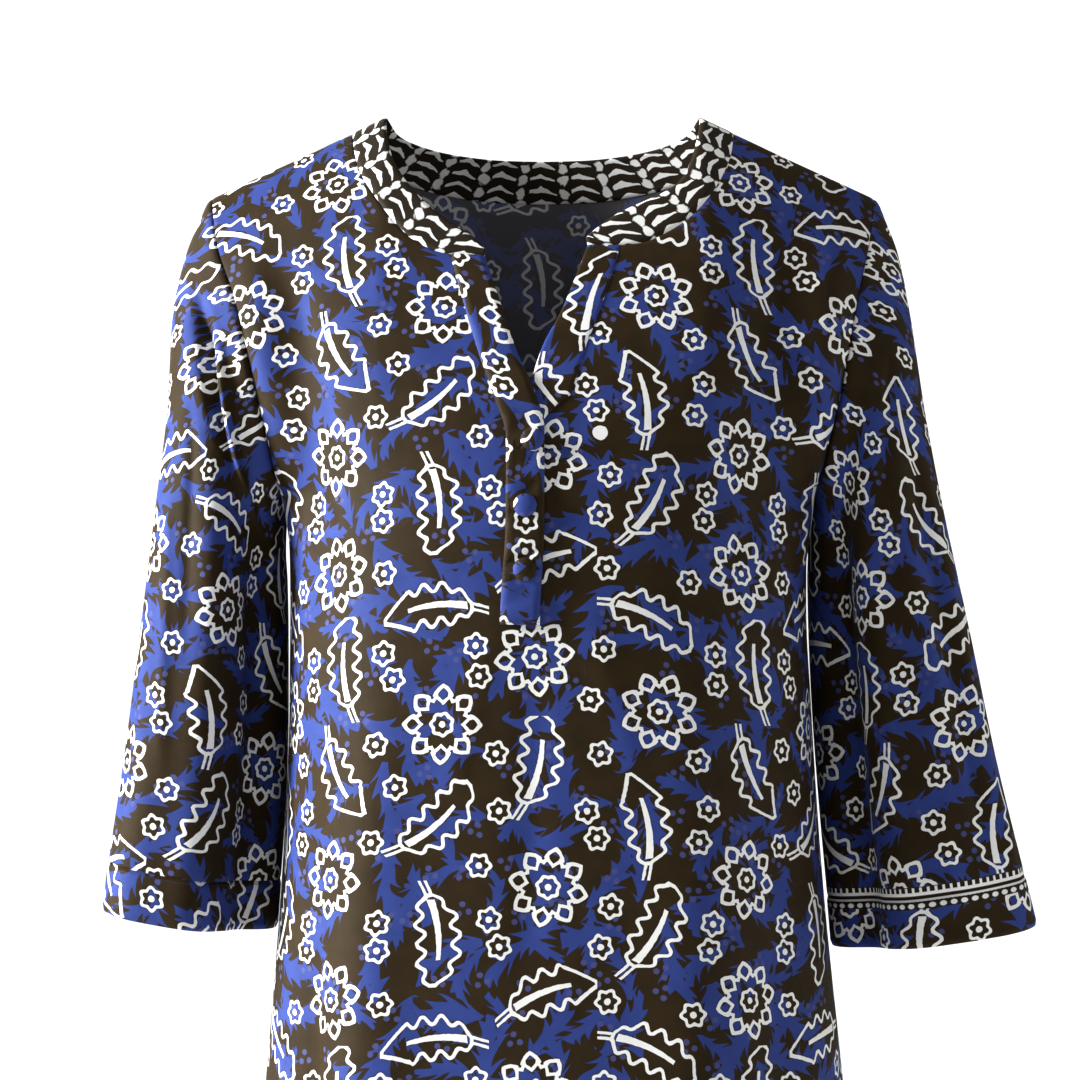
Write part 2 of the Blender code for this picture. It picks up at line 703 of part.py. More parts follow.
def build_sleeve(patches, normals, side, material):
    """A sleeve and its hem band."""
    armhole, armhole_normals, out = armhole_ring(patches, normals, side)
    last = len(SLEEVES[side]) - 1
    cuff = np.linspace(last - 1, last, CUFF_ROWS + 1)[1:]
    places = np.concatenate([np.linspace(0, last - 1, SLEEVE_ROWS + 1), cuff])
    rings = sleeve_rings(side, places, armhole)
    middle = rings.mean(axis=(0, 1))
    plain = normals_of({"sleeve": rings}, middle)["sleeve"]
    rings = rings + sleeve_lift(side, places)[..., None] * plain
    rings[0] = armhole + GAP * (out + armhole_normals)
    facing = normals_of({"sleeve": rings}, middle)["sleeve"]
    leaning = np.maximum((facing[0] * out).sum(axis=-1, keepdims=True), 0.0)
    facing[0] = unit(facing[0] - leaning * out)
    seam = SLEEVE_ROWS
    pieces = {
        f"sleeve_{side}": (slice(0, seam + 1), -1),
        f"sleeve_band_{side}": (slice(seam, None), 0),
    }
    for name, (rows, edge) in pieces.items():
        points, piece_normals = rings[rows].copy(), facing[rows]
        pull_in(points, piece_normals, edge, slice(None), closed=True)
        points[:, -1] = points[:, 0]
        wall(name, [(points, piece_normals)], WALL, material)


def build_buttons(patches, normals, material):
    """Domed buttons that stand on the overlap."""
    heights = patches["front_right"][:, 0, 2]
    for name, (distance, height) in BUTTONS.items():
        low = int(np.searchsorted(heights[: V_FOOT_ROW + 1], height)) - 1
        mix = (height - heights[low]) / (heights[low + 1] - heights[low])
        (below, below_normal), (above, above_normal) = (
            on_front(patches, normals, index, np.array([-distance])) for index in (low, low + 1)
        )
        facing = Vector((below_normal + (above_normal - below_normal) * mix)[0]).normalized()
        base = Vector((below + (above - below) * mix)[0]) + facing * (OVERLAP_STAND + BUTTON_STAND)
        mesh = bmesh.new()
        rings = []
        for radius, rise in BUTTON_PROFILE:
            turns = [2 * math.pi * step / BUTTON_SIDES for step in range(BUTTON_SIDES)]
            ring = [Vector((radius * math.cos(turn), radius * math.sin(turn), rise)) * MM for turn in turns]
            rings.append([mesh.verts.new(point) for point in ring])
        for low_ring, high_ring in zip(rings, rings[1:]):
            for step in range(BUTTON_SIDES):
                after = (step + 1) % BUTTON_SIDES
                mesh.faces.new([low_ring[step], low_ring[after], high_ring[after], high_ring[step]])
        mesh.faces.new(rings[0])
        mesh.faces.new(rings[-1])
        button = finish(mesh, name, material)
        button.location = base
        button.rotation_euler = facing.to_track_quat("Z", "Y").to_euler()


def main():
    for thing in list(bpy.data.objects):
        bpy.data.objects.remove(thing)
    cloth = cloth_material("printed_cotton", CLOTH_COLOUR, 0.7)
    band = cloth_material("band_cotton", BAND_COLOUR, 0.7)
    covered = cloth_material("button_cotton", BUTTON_COLOUR, 0.6)
    patches, normals = torso_grids()
    build_torso(patches, normals, cloth)
    build_neck(patches, normals, band)
    build_strips(patches, normals, cloth)
    for side in SIDES:
        build_sleeve(patches, normals, side, cloth)
    build_buttons(patches, normals, covered)


main()
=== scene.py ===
"""The looks of the v-neck dress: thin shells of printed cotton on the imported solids, with their sewing.

Z is up, the front faces -Y, and the wearer's right arm is at -X. Lengths are in metres.
"""

import math

import bpy
import numpy as np
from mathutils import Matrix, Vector


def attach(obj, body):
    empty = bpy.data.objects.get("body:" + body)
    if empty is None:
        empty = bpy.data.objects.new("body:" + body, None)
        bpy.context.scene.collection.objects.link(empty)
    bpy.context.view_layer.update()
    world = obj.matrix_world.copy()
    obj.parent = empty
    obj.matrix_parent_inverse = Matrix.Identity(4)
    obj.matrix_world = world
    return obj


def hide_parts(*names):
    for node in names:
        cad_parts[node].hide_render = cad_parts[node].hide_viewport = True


MM = 0.001
CM = 0.01
FULL_TURN = 2 * math.pi
SIDES = {"right": -1, "left": 1}  # the wearer's sides, with the sign of X


def in_metres(*rows, units=MM):
    """Rows of numbers as an array. Lengths are in mm in the rows and in metres in the array."""
    return np.array(rows) * units


# ---- The cut, as in the solids ----

STRIP = 1.0 * MM  # the strips sewn on beside the opening
GAP = 0.3 * MM
LENGTH = 0.96  # shoulder-neck point to hem
NECK_HALF = 0.101
SEAM_HALF = 0.1226  # where the neck band's seam crosses the shoulder
TIP_HALF = 0.213  # shoulder tip
SHOULDER_FALL = 0.473  # metres down for each metre out
BACK_NECK_RISE = 0.050
UNDERARM = -0.250
PLACKET_END = -0.3245


def shoulder_height(x):
    """Height of the shoulder line at a distance from the centre."""
    return -SHOULDER_FALL * (x - NECK_HALF)


# drop below the shoulder line, front depth, back depth
DEPTHS = in_metres(
    (0, 0, 0),
    (10, 20, 18),
    (25, 34, 31),
    (50, 52, 47),
    (90, 73, 64),
    (140, 93, 83),
    (200, 112, 96),
    (260, 125, 103),
    (320, 130, 107),
    (450, 134, 112),
    (600, 139, 121),
    (960, 151, 140),
)

# height, half width on the wearer's right, half width on the wearer's left, squareness
WIDTHS = in_metres(
    (-960, 215, 223, 2.6),
    (-620, 177, 191.6, 2.7),
    (-505, 167.5, 179.5, 2.8),
    (-440, 163.6, 174.4, 2.8),
    (-376, 161.4, 170.6, 2.8),
    (-320, 161.2, 168, 2.7),
    (UNDERARM / MM, 163, 168.5, 2.6),
    (-220, 179, 186, 2.5),
    (-190, 205, 211, 2.4),
    (-160, 232, 237, 2.4),
    (-125, 262, 265, 2.3),
    (-90, 285, 286, 2.3),
    (-50, 300, 300, 2.3),
    (30, 320, 320, 2.3),
    units=(MM, MM, MM, 1),
)

# height, X on the right front, X on the left front, X on the right back, X on the left back
ARMHOLES = in_metres(
    (UNDERARM / MM, 163, 168.5, 163, 168.5),
    (-220, 166.5, 173.5, 173, 178),
    (-190, 174, 181.5, 183, 186),
    (-159, 182, 188.5, 190.5, 193),
    (-125, 191.6, 196, 198.5, 199),
    (-87, 206, 206, 207, 207),
    (shoulder_height(TIP_HALF) / MM, TIP_HALF / MM, TIP_HALF / MM, TIP_HALF / MM, TIP_HALF / MM),
)

# X and height of the neck band's free edge, X and height of its seam
NECK_FRONT = {
    "right": in_metres(
        (35.2, -95.5, 35.8, -99.3),
        (38.5, -90.5, 45, -99),
        (50, -81.2, 62, -96.8),
        (65.1, -70.3, 79, -89),
        (76.6, -59.4, 92, -76.5),
        (87, -46.4, 105, -59),
        (95.5, -30, 115, -42),
        (99.5, -12, 120.5, -24),
        (NECK_HALF / MM, 0, SEAM_HALF / MM, shoulder_height(SEAM_HALF) / MM),
    ),
    "left": in_metres(
        (26.2, -87, 27.5, -92),
        (32, -81.5, 42, -92.2),
        (46, -71, 60, -90.5),
        (62, -63, 78, -82.5),
        (76, -56, 93, -71.5),
        (87, -46.5, 106, -56),
        (94.5, -30, 115, -40),
        (99, -12, 120.5, -24),
        (NECK_HALF / MM, 0, SEAM_HALF / MM, shoulder_height(SEAM_HALF) / MM),
    ),
}
NECK_BACK = in_metres(
    (0, -20, 0, -47),
    (28, -19.5, 35, -46),
    (55, -17.5, 70, -42),
    (80, -13.5, 99, -34),
    (95, -8, 116, -24),
    (NECK_HALF / MM, 0, SEAM_HALF / MM, shoulder_height(SEAM_HALF) / MM),
)

# height and X of the overlapping half's front edge
CENTRE = np.array(
    [(-LENGTH, 0.0040), (PLACKET_END, -0.0018), (-0.262, 0.0009), (-0.208, 0.0009), (-0.178, -0.0075)]
)

# X and height of the V's two edges
V_EDGE = {
    "right": np.array([(-0.0075, -0.1780), (-0.0139, -0.1645), (-0.0281, -0.1224), (-0.0358, -0.0993)]),
    "left": np.array([(-0.0075, -0.1780), (0.0000, -0.1558), (0.0116, -0.1332), (0.0275, -0.0920)]),
}

# The strips beside the opening, on the solids' rows from the placket's end up to the neck band:
# overlap's width, underlap's two edges
STRIPS = in_metres(
    (23.7, -21.5, -1.5),
    (23.4, -21.3, -1.5),
    (23.1, -21, -1.5),
    (23.1, -20.5, -1.2),
    (23.6, -16, -0.8),
    (24, -8, 12),
    (23.8, 0, 25.5),
    (23, 0, 25.5),
    (22.2, 0, 23.5),
    (21.4, 0, 21.5),
    (20.8, 0, 20),
)
STRIP_STAND = STRIP + GAP
OVERLAP_STAND = 2 * STRIP_STAND
RAISED_ROWS = 7

# outer X, Y and height, inner X, Y and height, half depth of each ring
SLEEVES = {
    "right": in_metres(
        (TIP_HALF / MM, 0, shoulder_height(TIP_HALF) / MM, 163, 0, UNDERARM / MM, 56),
        (229, -6, -90, 166, 0, -264, 56.5),
        (236.5, -12, -130, 166, 2, -280, 56),
        (238.5, -18, -185, 165.5, 5, -302, 55),
        (245, -26, -250, 165, 7, -335, 53),
        (254, -32, -330, 165, 8, -385, 51.5),
        (263.5, -37, -410, 166.8, 8, -445, 50.5),
        (272.5, -40, -474, 170, 8, -492.5, 50),
        (276, -41, -504.5, 172.2, 8, -523.5, 50),
    ),
    "left": in_metres(
        (TIP_HALF / MM, 0, shoulder_height(TIP_HALF) / MM, 168.5, 0, UNDERARM / MM, 56),
        (227.5, -8, -90, 170.8, 0, -264, 56.5),
        (234, -16, -130, 171, 2, -280, 56),
        (240.5, -26, -185, 171.3, 4, -302, 55),
        (251, -36, -250, 172, 5, -335, 53),
        (266.5, -47, -330, 174.2, 4, -385, 51),
        (281.5, -57, -410, 178.2, 0, -445, 49),
        (297.5, -65, -480, 182.8, -5, -502, 47),
        (304.5, -67, -510, 185.2, -7, -533, 46.5),
    ),
}
BLEND_STATIONS = 3.0

# distance from the front edge, height
BUTTONS = {
    "button_top": (0.0075, -0.2135),
    "button_middle": (0.0115, -0.2540),
    "button_low": (0.0105, -0.2920),
}
BUTTON_STAND = 0.4 * MM  # how far they stand off the overlap

# ---- Folds: the solids' own, then the finer creases ----

# X and height at the top, X and height at the bottom, half width along the cloth, height of the fold
FOLDS = {
    "front": in_metres(
        (-186, -70, -152, -300, 16, 5),
        (-165, -80, -128, -330, 18, -6),
        (-104, -240, -112, -1150, 26, 6.5),
        (-138, -400, -152, -1150, 16, -5),
        (-45, -520, -55, -1300, 42, -8),
        (30, -600, 36, -1300, 45, 8),
        (92, -250, 100, -1150, 28, 6),
        (140, -330, 158, -1150, 18, -5.5),
        (182, -60, 156, -320, 18, 7),
        (152, -60, 118, -330, 22, -5),
        # finer creases, left to the shells
        (-135, -430, -150, -1060, 7, -1.8),
        (-124, -520, -136, -1060, 8, 1.4),
        (-150, -200, -90, -262, 7, -1.2),
        (-148, -230, -80, -315, 8, 1),
        (-158, -100, -118, -245, 7.5, -1.3),
        (150, -110, 105, -250, 8, -1.3),
        (158, -205, 95, -290, 8, 1.1),
        (148, -245, 70, -335, 7.5, -1.1),
        (20, -300, 60, -420, 9, 1),
        (-25, -310, -60, -440, 9.5, 1),
        (-4, -330, -10, -560, 10, -1.2),
        (118, -480, 128, -860, 9, 1.4),
        (64, -640, 70, -1100, 10, -1.6),
        (-78, -700, -84, -1120, 10, 1.5),
        (-12, -700, -10, -1100, 11, -1.4),
        (165, -620, 185, -1100, 9, 1.6),
        (-165, -640, -186, -1100, 9, 1.6),
    ),
    "back": in_metres(
        (-150, -140, -148, -480, 18, -6),
        (-95, -200, -112, -1200, 32, 7.5),
        (-10, -420, -12, -1300, 50, -9),
        (85, -200, 105, -1200, 34, 7.5),
        (156, -150, 152, -520, 18, -6),
        (150, -560, 165, -1300, 30, -7),
        (-145, -600, -160, -1300, 30, -7),
        # finer creases, left to the shells
        (-140, -180, -70, -300, 9, -1.4),
        (-146, -220, -80, -380, 9, 1.2),
        (142, -190, 75, -320, 9, -1.4),
        (150, -240, 85, -400, 9, 1.2),
        (-50, -480, -58, -900, 11, 1.5),
        (45, -520, 50, -1060, 11, -1.5),
        (118, -560, 136, -1080, 10, 1.5),
        (-118, -620, -136, -1080, 10, -1.4),
        (5, -660, 4, -1120, 12, 1.4),
        (170, -640, 188, -1080, 9, 1.5),
        (-168, -600, -186, -1080, 9, 1.5),
    ),
}
FOLD_ENDS = 0.3
SEAM_CALM = 0.022
NECK_CALM = 0.080

# angle (0 outside, 90 front, 180 inside, 270 back) and table row at the top, the same at the
# bottom, half width in degrees, height of the fold
SLEEVE_UNITS = (1, 1, 1, 1, 1, MM)
SLEEVE_FOLDS = {
    "right": in_metres(
        (46, 0.6, 104, 2.4, 13, -9),
        (68, 0.6, 126, 2.6, 12, 6),
        (90, 1.9, 97, 10, 17, 8.5),
        (136, 1.6, 138, 10, 20, -11),
        (236, 1.5, 226, 10, 22, -5.5),
        (288, 2, 270, 10, 20, 4.5),
        # finer creases, left to the shells
        (60, 2.2, 76, 5.2, 5.5, -1.6),
        (98, 3, 112, 6.8, 6, -1.4),
        (40, 3.4, 66, 6.2, 6, 1.3),
        (20, 4.6, 30, 9.5, 7, -1.3),
        (120, 4.2, 126, 9.5, 6, 1.4),
        (250, 2.4, 262, 6, 7, 1.4),
        (310, 2, 300, 5.5, 7, -1.3),
        (206, 3.2, 212, 9.5, 7, 1.2),
        units=SLEEVE_UNITS,
    ),
    "left": in_metres(
        (94, 0.8, 104, 10, 17, 8),
        (132, 0.5, 142, 10, 18, -12),
        (54, 2.4, 50, 7.5, 11, -4.5),
        (70, 2, 68, 8.5, 12, 3),
        (238, 1.5, 230, 10, 22, -5.5),
        (292, 2, 280, 10, 20, 4.5),
        # finer creases, left to the shells
        (60, 1.4, 88, 3.6, 5.5, -1.4),
        (84, 3.2, 96, 7.4, 6, -1.5),
        (38, 3, 26, 8, 6, 1.4),
        (118, 3, 122, 9.5, 6, 1.3),
        (68, 5.2, 60, 9.5, 6, -1.3),
        (252, 2.6, 266, 6.4, 7, -1.4),
        (312, 2.2, 296, 6.5, 7, 1.3),
        (206, 3, 214, 9.5, 7, -1.2),
        units=SLEEVE_UNITS,
    ),
}

# ---- The shells' own rows and columns: whole multiples of the solids' ----

SOLID_COLUMNS = 16
CROWDING = 1.25
COLUMNS = 4 * SOLID_COLUMNS
SOLID_LOW_ROWS = np.concatenate([np.linspace(-LENGTH, PLACKET_END, 11), (-0.287, UNDERARM)])
LOW_PARTS = 10  # rows of the shell for each of the solids' rows below the underarm
PARTS = 4  # and above it
SOLID_TO_V = (UNDERARM, -0.2275, -0.205, -0.190, -0.178)
V_ROWS = 4 * PARTS
NECK_ROWS = 8 * PARTS
BACK_CENTRE_ROWS = 6 * PARTS


def in_parts(values, parts):
    """The values of a list, with every step between them cut into equal parts."""
    rows = np.arange(len(values), dtype=float)
    return np.interp(np.linspace(0, len(values) - 1, parts * (len(values) - 1) + 1), rows, values)


LOW_ROWS = in_parts(SOLID_LOW_ROWS, LOW_PARTS)
ROWS_TO_PLACKET = 10 * LOW_PARTS
UNDERARM_ROW = len(LOW_ROWS) - 1
ROWS_TO_V = in_parts(SOLID_TO_V, PARTS)[1:]
V_FOOT_ROW = UNDERARM_ROW + len(ROWS_TO_V)
ARMHOLE_ROWS = len(ROWS_TO_V) + V_ROWS + NECK_ROWS
BACK_NECK_ROWS = ARMHOLE_ROWS - BACK_CENTRE_ROWS
NECK_ROW = {"front": V_FOOT_ROW + V_ROWS, "back": UNDERARM_ROW + BACK_CENTRE_ROWS}
BAND_COLUMNS = 10
STRIP_COLUMNS = 10
SLEEVE_ROWS = 96
CUFF_ROWS = 10

TORSO_MIDDLE = np.array((0.0, 0.0, -0.4))
SAME_POINT = 1e-7  # points no further apart than this are one
EDGE_SAMPLES = 400  # points that an armhole is measured with
ROW_SAMPLES = 300
FLAT_SAMPLES = 60
END_ROW = 0.3  # where a strip's second row is, for its turned end

SHORT_STEPS = 0.7  # how much shorter the steps are beside a seam
SHORT_REACH = 0.012  # and over what share of the way

SHELL = 0.5 * MM  # thickness of the cloth that shows at an edge
BAND_SHELL = 0.9 * MM
SEAM_DIP = 0.55 * MM  # how far cloth dips at a seam
SEAM_REACH = 3.2 * MM  # and from how far away
SEAM_PUFF = 1.5 * MM  # how far the armhole seam, turned into the sleeve, lifts it
PUFF_REACH = 6 * MM
BAND_CROWN = 0.35 * MM  # how far a doubled band stands off the cloth beside it
EDGE_DROP = 0.6 * MM  # how far a folded edge rounds away
EDGE_ROUND = 1.2 * MM
TUCKED_STAND = 0.3 * MM  # the strips' height where the neck band holds them
TUCK_REACH = 7 * MM
WEDGE_ROWS = 5  # rows of a strip between the grid's row and the neck band's seam

FLUSH_STAND = 0.75 * MM  # the strips' height beside the V, where they are sewn flat
FLUSH_ROW = 5.0  # and the solids' row from which they sink to it
PUCKER_CALM = 2.2 * MM
PUCKER_RISE = 1.3 * MM  # how far the cloth between the creases stands up
# height, metres up for each metre across, half width and depth of each crease across the overlap
PUCKERS = in_metres(
    (-198.5, 0.45, 2.4, 1.3),
    (-205.6, -0.5, 2.2, 1.8),
    (-221.2, 0.55, 2.6, 2.2),
    (-228.6, -0.25, 2.2, 1.3),
    (-237.2, 0.4, 2.8, 2.3),
    (-245.5, -0.6, 2.2, 1.8),
    (-262.5, 0.55, 2.6, 2.2),
    (-270.8, -0.2, 2.2, 1.3),
    (-283, -0.45, 2.7, 2.3),
    (-300.6, 0.5, 2.6, 1.8),
    (-308.5, -0.35, 2.4, 1),
    units=(MM, 1, MM, MM),
)

BUTTON_SIDES = 48
BUTTON_GATHERS = 13
# radius, height, and how far the cloth is gathered
BUTTON_PROFILE = in_metres(
    (5.6, 0.0, 0.0),
    (6.6, 0.25, 0.02),
    (6.95, 0.8, 0.022),
    (7.0, 1.5, 0.014),
    (6.75, 2.2, 0.008),
    (6.15, 2.9, 0.004),
    (5.3, 3.45, 0.0),
    (4.2, 3.9, 0.0),
    (2.9, 4.2, 0.0),
    (1.4, 4.38, 0.0),
    (0.3, 4.42, 0.0),
    units=(MM, MM, 1),
)

STITCH_PITCH = 2.7 * MM
STITCH_LENGTH = 2.1 * MM
STITCH_RADIUS = 0.16 * MM
STITCH_SIDES = 5
# each ring's place along a stitch, and its share of the radius
STITCH_RINGS = ((-0.5, 0.25), (-0.3, 1.0), (0.3, 1.0), (0.5, 0.25))
SEWN_IN = 1.6 * MM  # how far from an edge the strips are sewn
CUFF_SEWN_IN = 2.4 * MM  # and how far from their seam the sleeves' bands are
HEM_UP = 20 * MM

# Where each piece was cut from the printed cloth: metres across, metres up, degrees turned
ON_CLOTH = {
    "front": (0.0, 0.0, 0.0),
    "back": (0.45, 0.33, 0.0),
    "sleeve_right": (0.152, 0.187, 0.0),
    "sleeve_left": (0.717, 0.0, 0.0),
    "sleeve_band_right": (0.283, 0.071, 0.0),
    "sleeve_band_left": (0.283, 0.0, 0.0),
    "placket_overlap": (0.371, 0.143, 0.0),
    "placket_underlap": (0.118, 0.512, 0.0),
    "button_top": (0.216, 0.05, 40.0),
    "button_middle": (0.061, 0.127, 110.0),
    "button_low": (0.139, 0.283, 75.0),
}
# The neck band's pieces: where each length starts on the border print, and which way it runs
NECK_BANDS = {
    "neck_band_front_right": {"front_band_right": (0.011, -1)},
    "neck_band_front_left": {"front_band_left": (0.004, 1)},
    "neck_band_back": {"back_band_right": (0.0, -1), "back_band_left": (0.0, 1)},
}

# ---- The print ----

LINE = 2.15 * MM  # thickness of the white lines
PITCH = 6.4 * CM  # between the columns of big motifs, and between the motifs of one
MOTIF_COLUMNS = 4
MOTIF_ROWS = 4
WREATH, LEAF, TIPPED = 0, 1, 2
# kind, degrees turned, shift across and up in mm, how far it bends
MOTIFS = (
    (WREATH, 10, 3, -5, 0),
    (LEAF, 78, -2, 3, 3),
    (WREATH, 30, -5, 3, 0),
    (TIPPED, 20, 2, -2, -3),
    (TIPPED, 100, -2, 2, 3),
    (WREATH, 0, 5, 4, 0),
    (LEAF, 335, 0, -3, -3),
    (LEAF, 62, 3, 1, 3),
    (WREATH, 15, -4, 3, 0),
    (TIPPED, 300, 1, 0, 3),
    (LEAF, 95, 4, 2, -3),
    (WREATH, 35, -3, -5, 0),
    (LEAF, 40, 1, 1, 3),
    (WREATH, 20, 4, -4, 0),
    (TIPPED, 185, -2, 3, 3),
    (LEAF, 275, 2, 0, -3),
)
BEND = 22.0  # how far aside a leaf would be a metre from its middle, for a bend of BEND_REACH
BEND_REACH = 10
SHIFT_REACH = 20  # mm between the furthest shifts there can be
WREATH_ROOM = 22  # mm that a wreath covers round its middle
LEAF_PLACES = range(-40, 35, 3)  # mm along a leaf with its stem
LEAF_BODY = range(-23, 26)
LEAF_ROOM = 12  # mm that a leaf covers to each side
STEM_ROOM = 3
STAR_SHIFTS = range(-8, 9, 2)  # mm that a star may be shifted
STAR_TURN = 1.7  # radians from each star to the next
STAR_ROOM = 9.0  # mm free round a star's middle
STAR_RADIUS = 0.62 * CM
STAR_DOT = 2.0 * MM
WREATH_STAR = (7, 0.08)  # its points, and how far they stand out as a share of its radius
FREE_STAR = (6, 0.13)
DOT_RADIUS = 1.8 * MM
DOT_RING = 3.4 * MM
WREATH_DIAMONDS = 8.0
WREATH_RING = 1.78 * CM
DIAMOND_HALF = 0.5 * CM
DIAMOND_POWER = 1.15  # 1 for straight sides, more for rounder ones
DIAMOND_STEEP = 0.8  # from its middle to its outline, square to it, as a share of its half
LINK_DROP = 0.3 * CM
LINK_SLOPE = 0.75
LINK_LINE = 0.62 * LINE  # half its line's thickness
LINK_HALF = 0.4 * CM
LEAF_MIDDLE = 0.3 * CM
LEAF_HALF_LENGTH = 2.8 * CM
LEAF_HALF_WIDTH = 1.05 * CM
LEAF_CUT = 0.95  # where its ends are cut square, as a share of its half length
WAVE_LENGTH = 1.13 * CM
WAVE_HEIGHT = 2.5 * MM
WAVE_STAGGER = 0.9  # radians that the waves of one edge are ahead, and those of the other behind
TIP_END = 3.15 * CM
TIP_START = 1.4 * CM
TIP_BLEND = 1.5 * MM
TIP_SLOPE = 0.66
RIB_HALF = 1.7 * MM
RIB_TAPER = 0.03
RIB_LENGTH = 3.6 * CM
RIB_BACK = 0.3 * CM
STEM_GAP = 1.7 * MM
STEM_LINE = 0.42 * LINE  # half its lines' thickness
STEM_LENGTH = 1.1 * CM
STEM_MIDDLE = -2.9 * CM
# thorny leaves of the ground in a metre, their half length, half width and teeth in cm
SPRIGS = (
    (24.0, 2.5, 0.95, 1.00),
    (28.0, 2.0, 0.74, 0.85),
)
SPRIG_BEND = 0.25  # how far its ends bend, as a share of its half length
SPRIG_SHARE = 0.38  # of its half width, between the thorns
THORN_SHARE = 0.68  # and what a thorn adds
THORN_SLANT = 0.6
THORN_STAGGER = 0.3
GROUND_WOBBLE = (12 * MM, 50.0)  # reach, waves in a metre
GROUND_BLUR = 0.12 * MM
LINE_BLUR = 0.16 * MM
DOT_BLUR = 0.2 * MM
EDGING = (0.75 * MM, 0.35 * MM)  # how far from the white its dark edging starts, and is full
EDGING_STRENGTH = 0.6
DOT_STRENGTH = 0.85
PRINT_EDGE = (7.0, 300.0, 0.9 * MM)  # layer of the noise, waves in a metre, height
TONE_LAYER = 11.0
TONE_SCALE = 60.0
DOT_CLUSTERS = 33.0  # in a metre
DISC_PLACE = (0.0343, -0.246)  # the one white disc of the front, across and up on its cloth
DISC_RADIUS = 4.6 * MM
THREAD = 0.55 * MM  # between the weave's threads
THREAD_HEIGHT = 0.06 * MM
SLUB_STRETCH = 9.0  # how much shorter a slub is than it is long
SLUB_SCALE = 120.0
SLUB_HEIGHT = 0.05 * MM
CRUMPLE_LAYER = 2.0
CRUMPLE_SCALE = 55.0
CRUMPLE_HEIGHT = 0.9 * MM
THREAD_SCALE = 900.0
OBJECT_PLACE = 3  # which texture coordinate is a place on the object

BORDER_UNIT = 27 * MM  # between the border's columns of ovals
BORDER_ROW = 8.6 * MM  # and between the ovals of a column
OVAL_START = 6.8 * MM
OVAL_HALVES = (3.1, 3.6)  # mm
DASH_START = 0.6 * MM
DASH_HALF = 8.4 * MM
DASH_BEND = 1.5 * MM  # where it bends, beside the middle of the column
DASH_SLOPE = 0.36
DASH_DROP = 1.3 * MM
DASH_LINE = 1.9 * MM  # half its thickness at the bend
DASH_TAPER = 0.14
BORDER_WOBBLE = (6 * MM, 70.0, 1.0)  # reach, waves in a metre, detail
BORDER_EDGE = (5.0, 260.0, 1.2 * MM)

# The woven edge at one sleeve's band seam, in mm about the seam
EDGE_LINES = ((2.2, 1.0), (-1.6, 0.75))  # height, half thickness
EDGE_TABS = (4.4, 0.8, 4.6, 1.5)  # pitch, half width, height, half height
EDGE_PETALS = (6.2, -4.9, 2.0, 1.5)  # pitch, height, half width, half height
EDGE_MIDDLE = -0.2 * MM
EDGE_HALF = 6.8 * MM

DARK_BROWN = (0.019, 0.0115, 0.0032, 1.0)
LIGHT_BROWN = (0.044, 0.027, 0.0085, 1.0)
DARK_BLUE = (0.027, 0.046, 0.18, 1.0)
LIGHT_BLUE = (0.044, 0.073, 0.27, 1.0)
WHITE = (0.80, 0.80, 0.78, 1.0)
GREY = (0.075, 0.085, 0.22, 1.0)
FADED = (0.35, 0.35, 0.40, 1.0)
BAND_BROWN = (0.026, 0.018, 0.010, 1.0)
THREAD_DARK = (0.020, 0.022, 0.055, 1.0)
THREAD_LIGHT = (0.045, 0.050, 0.11, 1.0)
REVERSE_FADE = 0.35  # how far the cloth's reverse is faded
COTTON = {"Sheen Weight": 0.03, "Sheen Roughness": 0.4, "Specular IOR Level": 0.15}

# ---- Camera, light and floor ----

PHOTO_SIZE = 1080
FOCAL_PIXELS = 2480
AXIS_PIXEL = (543, 560)  # where the camera's axis meets the photo
SENSOR = 36.0
CAMERA_DISTANCE = 1.6
CAMERA_HEIGHT = -0.286
AMBIENT = 0.18
FLOOR_RADIUS = 3.0
FLOOR_HEIGHT = -1.42
FLOOR_SIDES = 96
FLOOR_COLOUR = (0.86, 0.86, 0.85, 1.0)
# name, place, point aimed at, size, power in watts
LIGHTS = (
    ("key", (-3.2, -0.55, 0.6), (0.0, 0.0, -0.4), (0.9, 1.4), 300.0),
    ("fill", (0.5, -2.9, 0.4), (0.0, 0.0, -0.3), (1.8, 1.8), 6.0),
    ("right", (2.9, -0.5, 0.2), (0.1, 0.0, -0.4), (1.4, 1.8), 26.0),
    ("top", (-0.5, -0.3, 2.3), (0.0, 0.0, -0.2), (1.4, 1.4), 14.0),
    ("behind", (-0.6, 2.6, 0.8), (0.0, 0.0, -0.4), (2.0, 2.0), 30.0),
)

# ---- Numbers and lines ----


def smooth(xs, ys, x):
    """A monotone cubic curve through the points (xs, ys), read at x."""
    step = np.diff(xs)
    slope = np.diff(ys) / step
    same_way = slope[:-1] * slope[1:] > 0
    total = np.where(same_way, slope[:-1] + slope[1:], 1.0)
    middle = np.where(same_way, 2 * slope[:-1] * slope[1:] / total, 0.0)
    tangent = np.concatenate(([slope[0]], middle, [slope[-1]]))
    x = np.clip(x, xs[0], xs[-1])
    i = np.clip(np.searchsorted(xs, x, side="right") - 1, 0, len(step) - 1)
    t = (x - xs[i]) / step[i]
    ends = ys[i] * (1 + 2 * t) * (1 - t) ** 2 + ys[i + 1] * t**2 * (3 - 2 * t)
    return ends + step[i] * t * (1 - t) * (tangent[i] * (1 - t) - tangent[i + 1] * t)


def read(rows, column, value):
    """One column of a table, read smoothly at a value of its first column."""
    return smooth(rows[:, 0], rows[:, column], value)


def along(rows, places):
    """All columns of a table, read smoothly at places counted in rows from its first."""
    numbers = np.arange(len(rows), dtype=float)
    return np.stack([smooth(numbers, column, places) for column in rows.T], axis=-1)


def spread(rows, count):
    """Places that cut a table's length into count stretches."""
    return np.linspace(0, len(rows) - 1, count + 1)


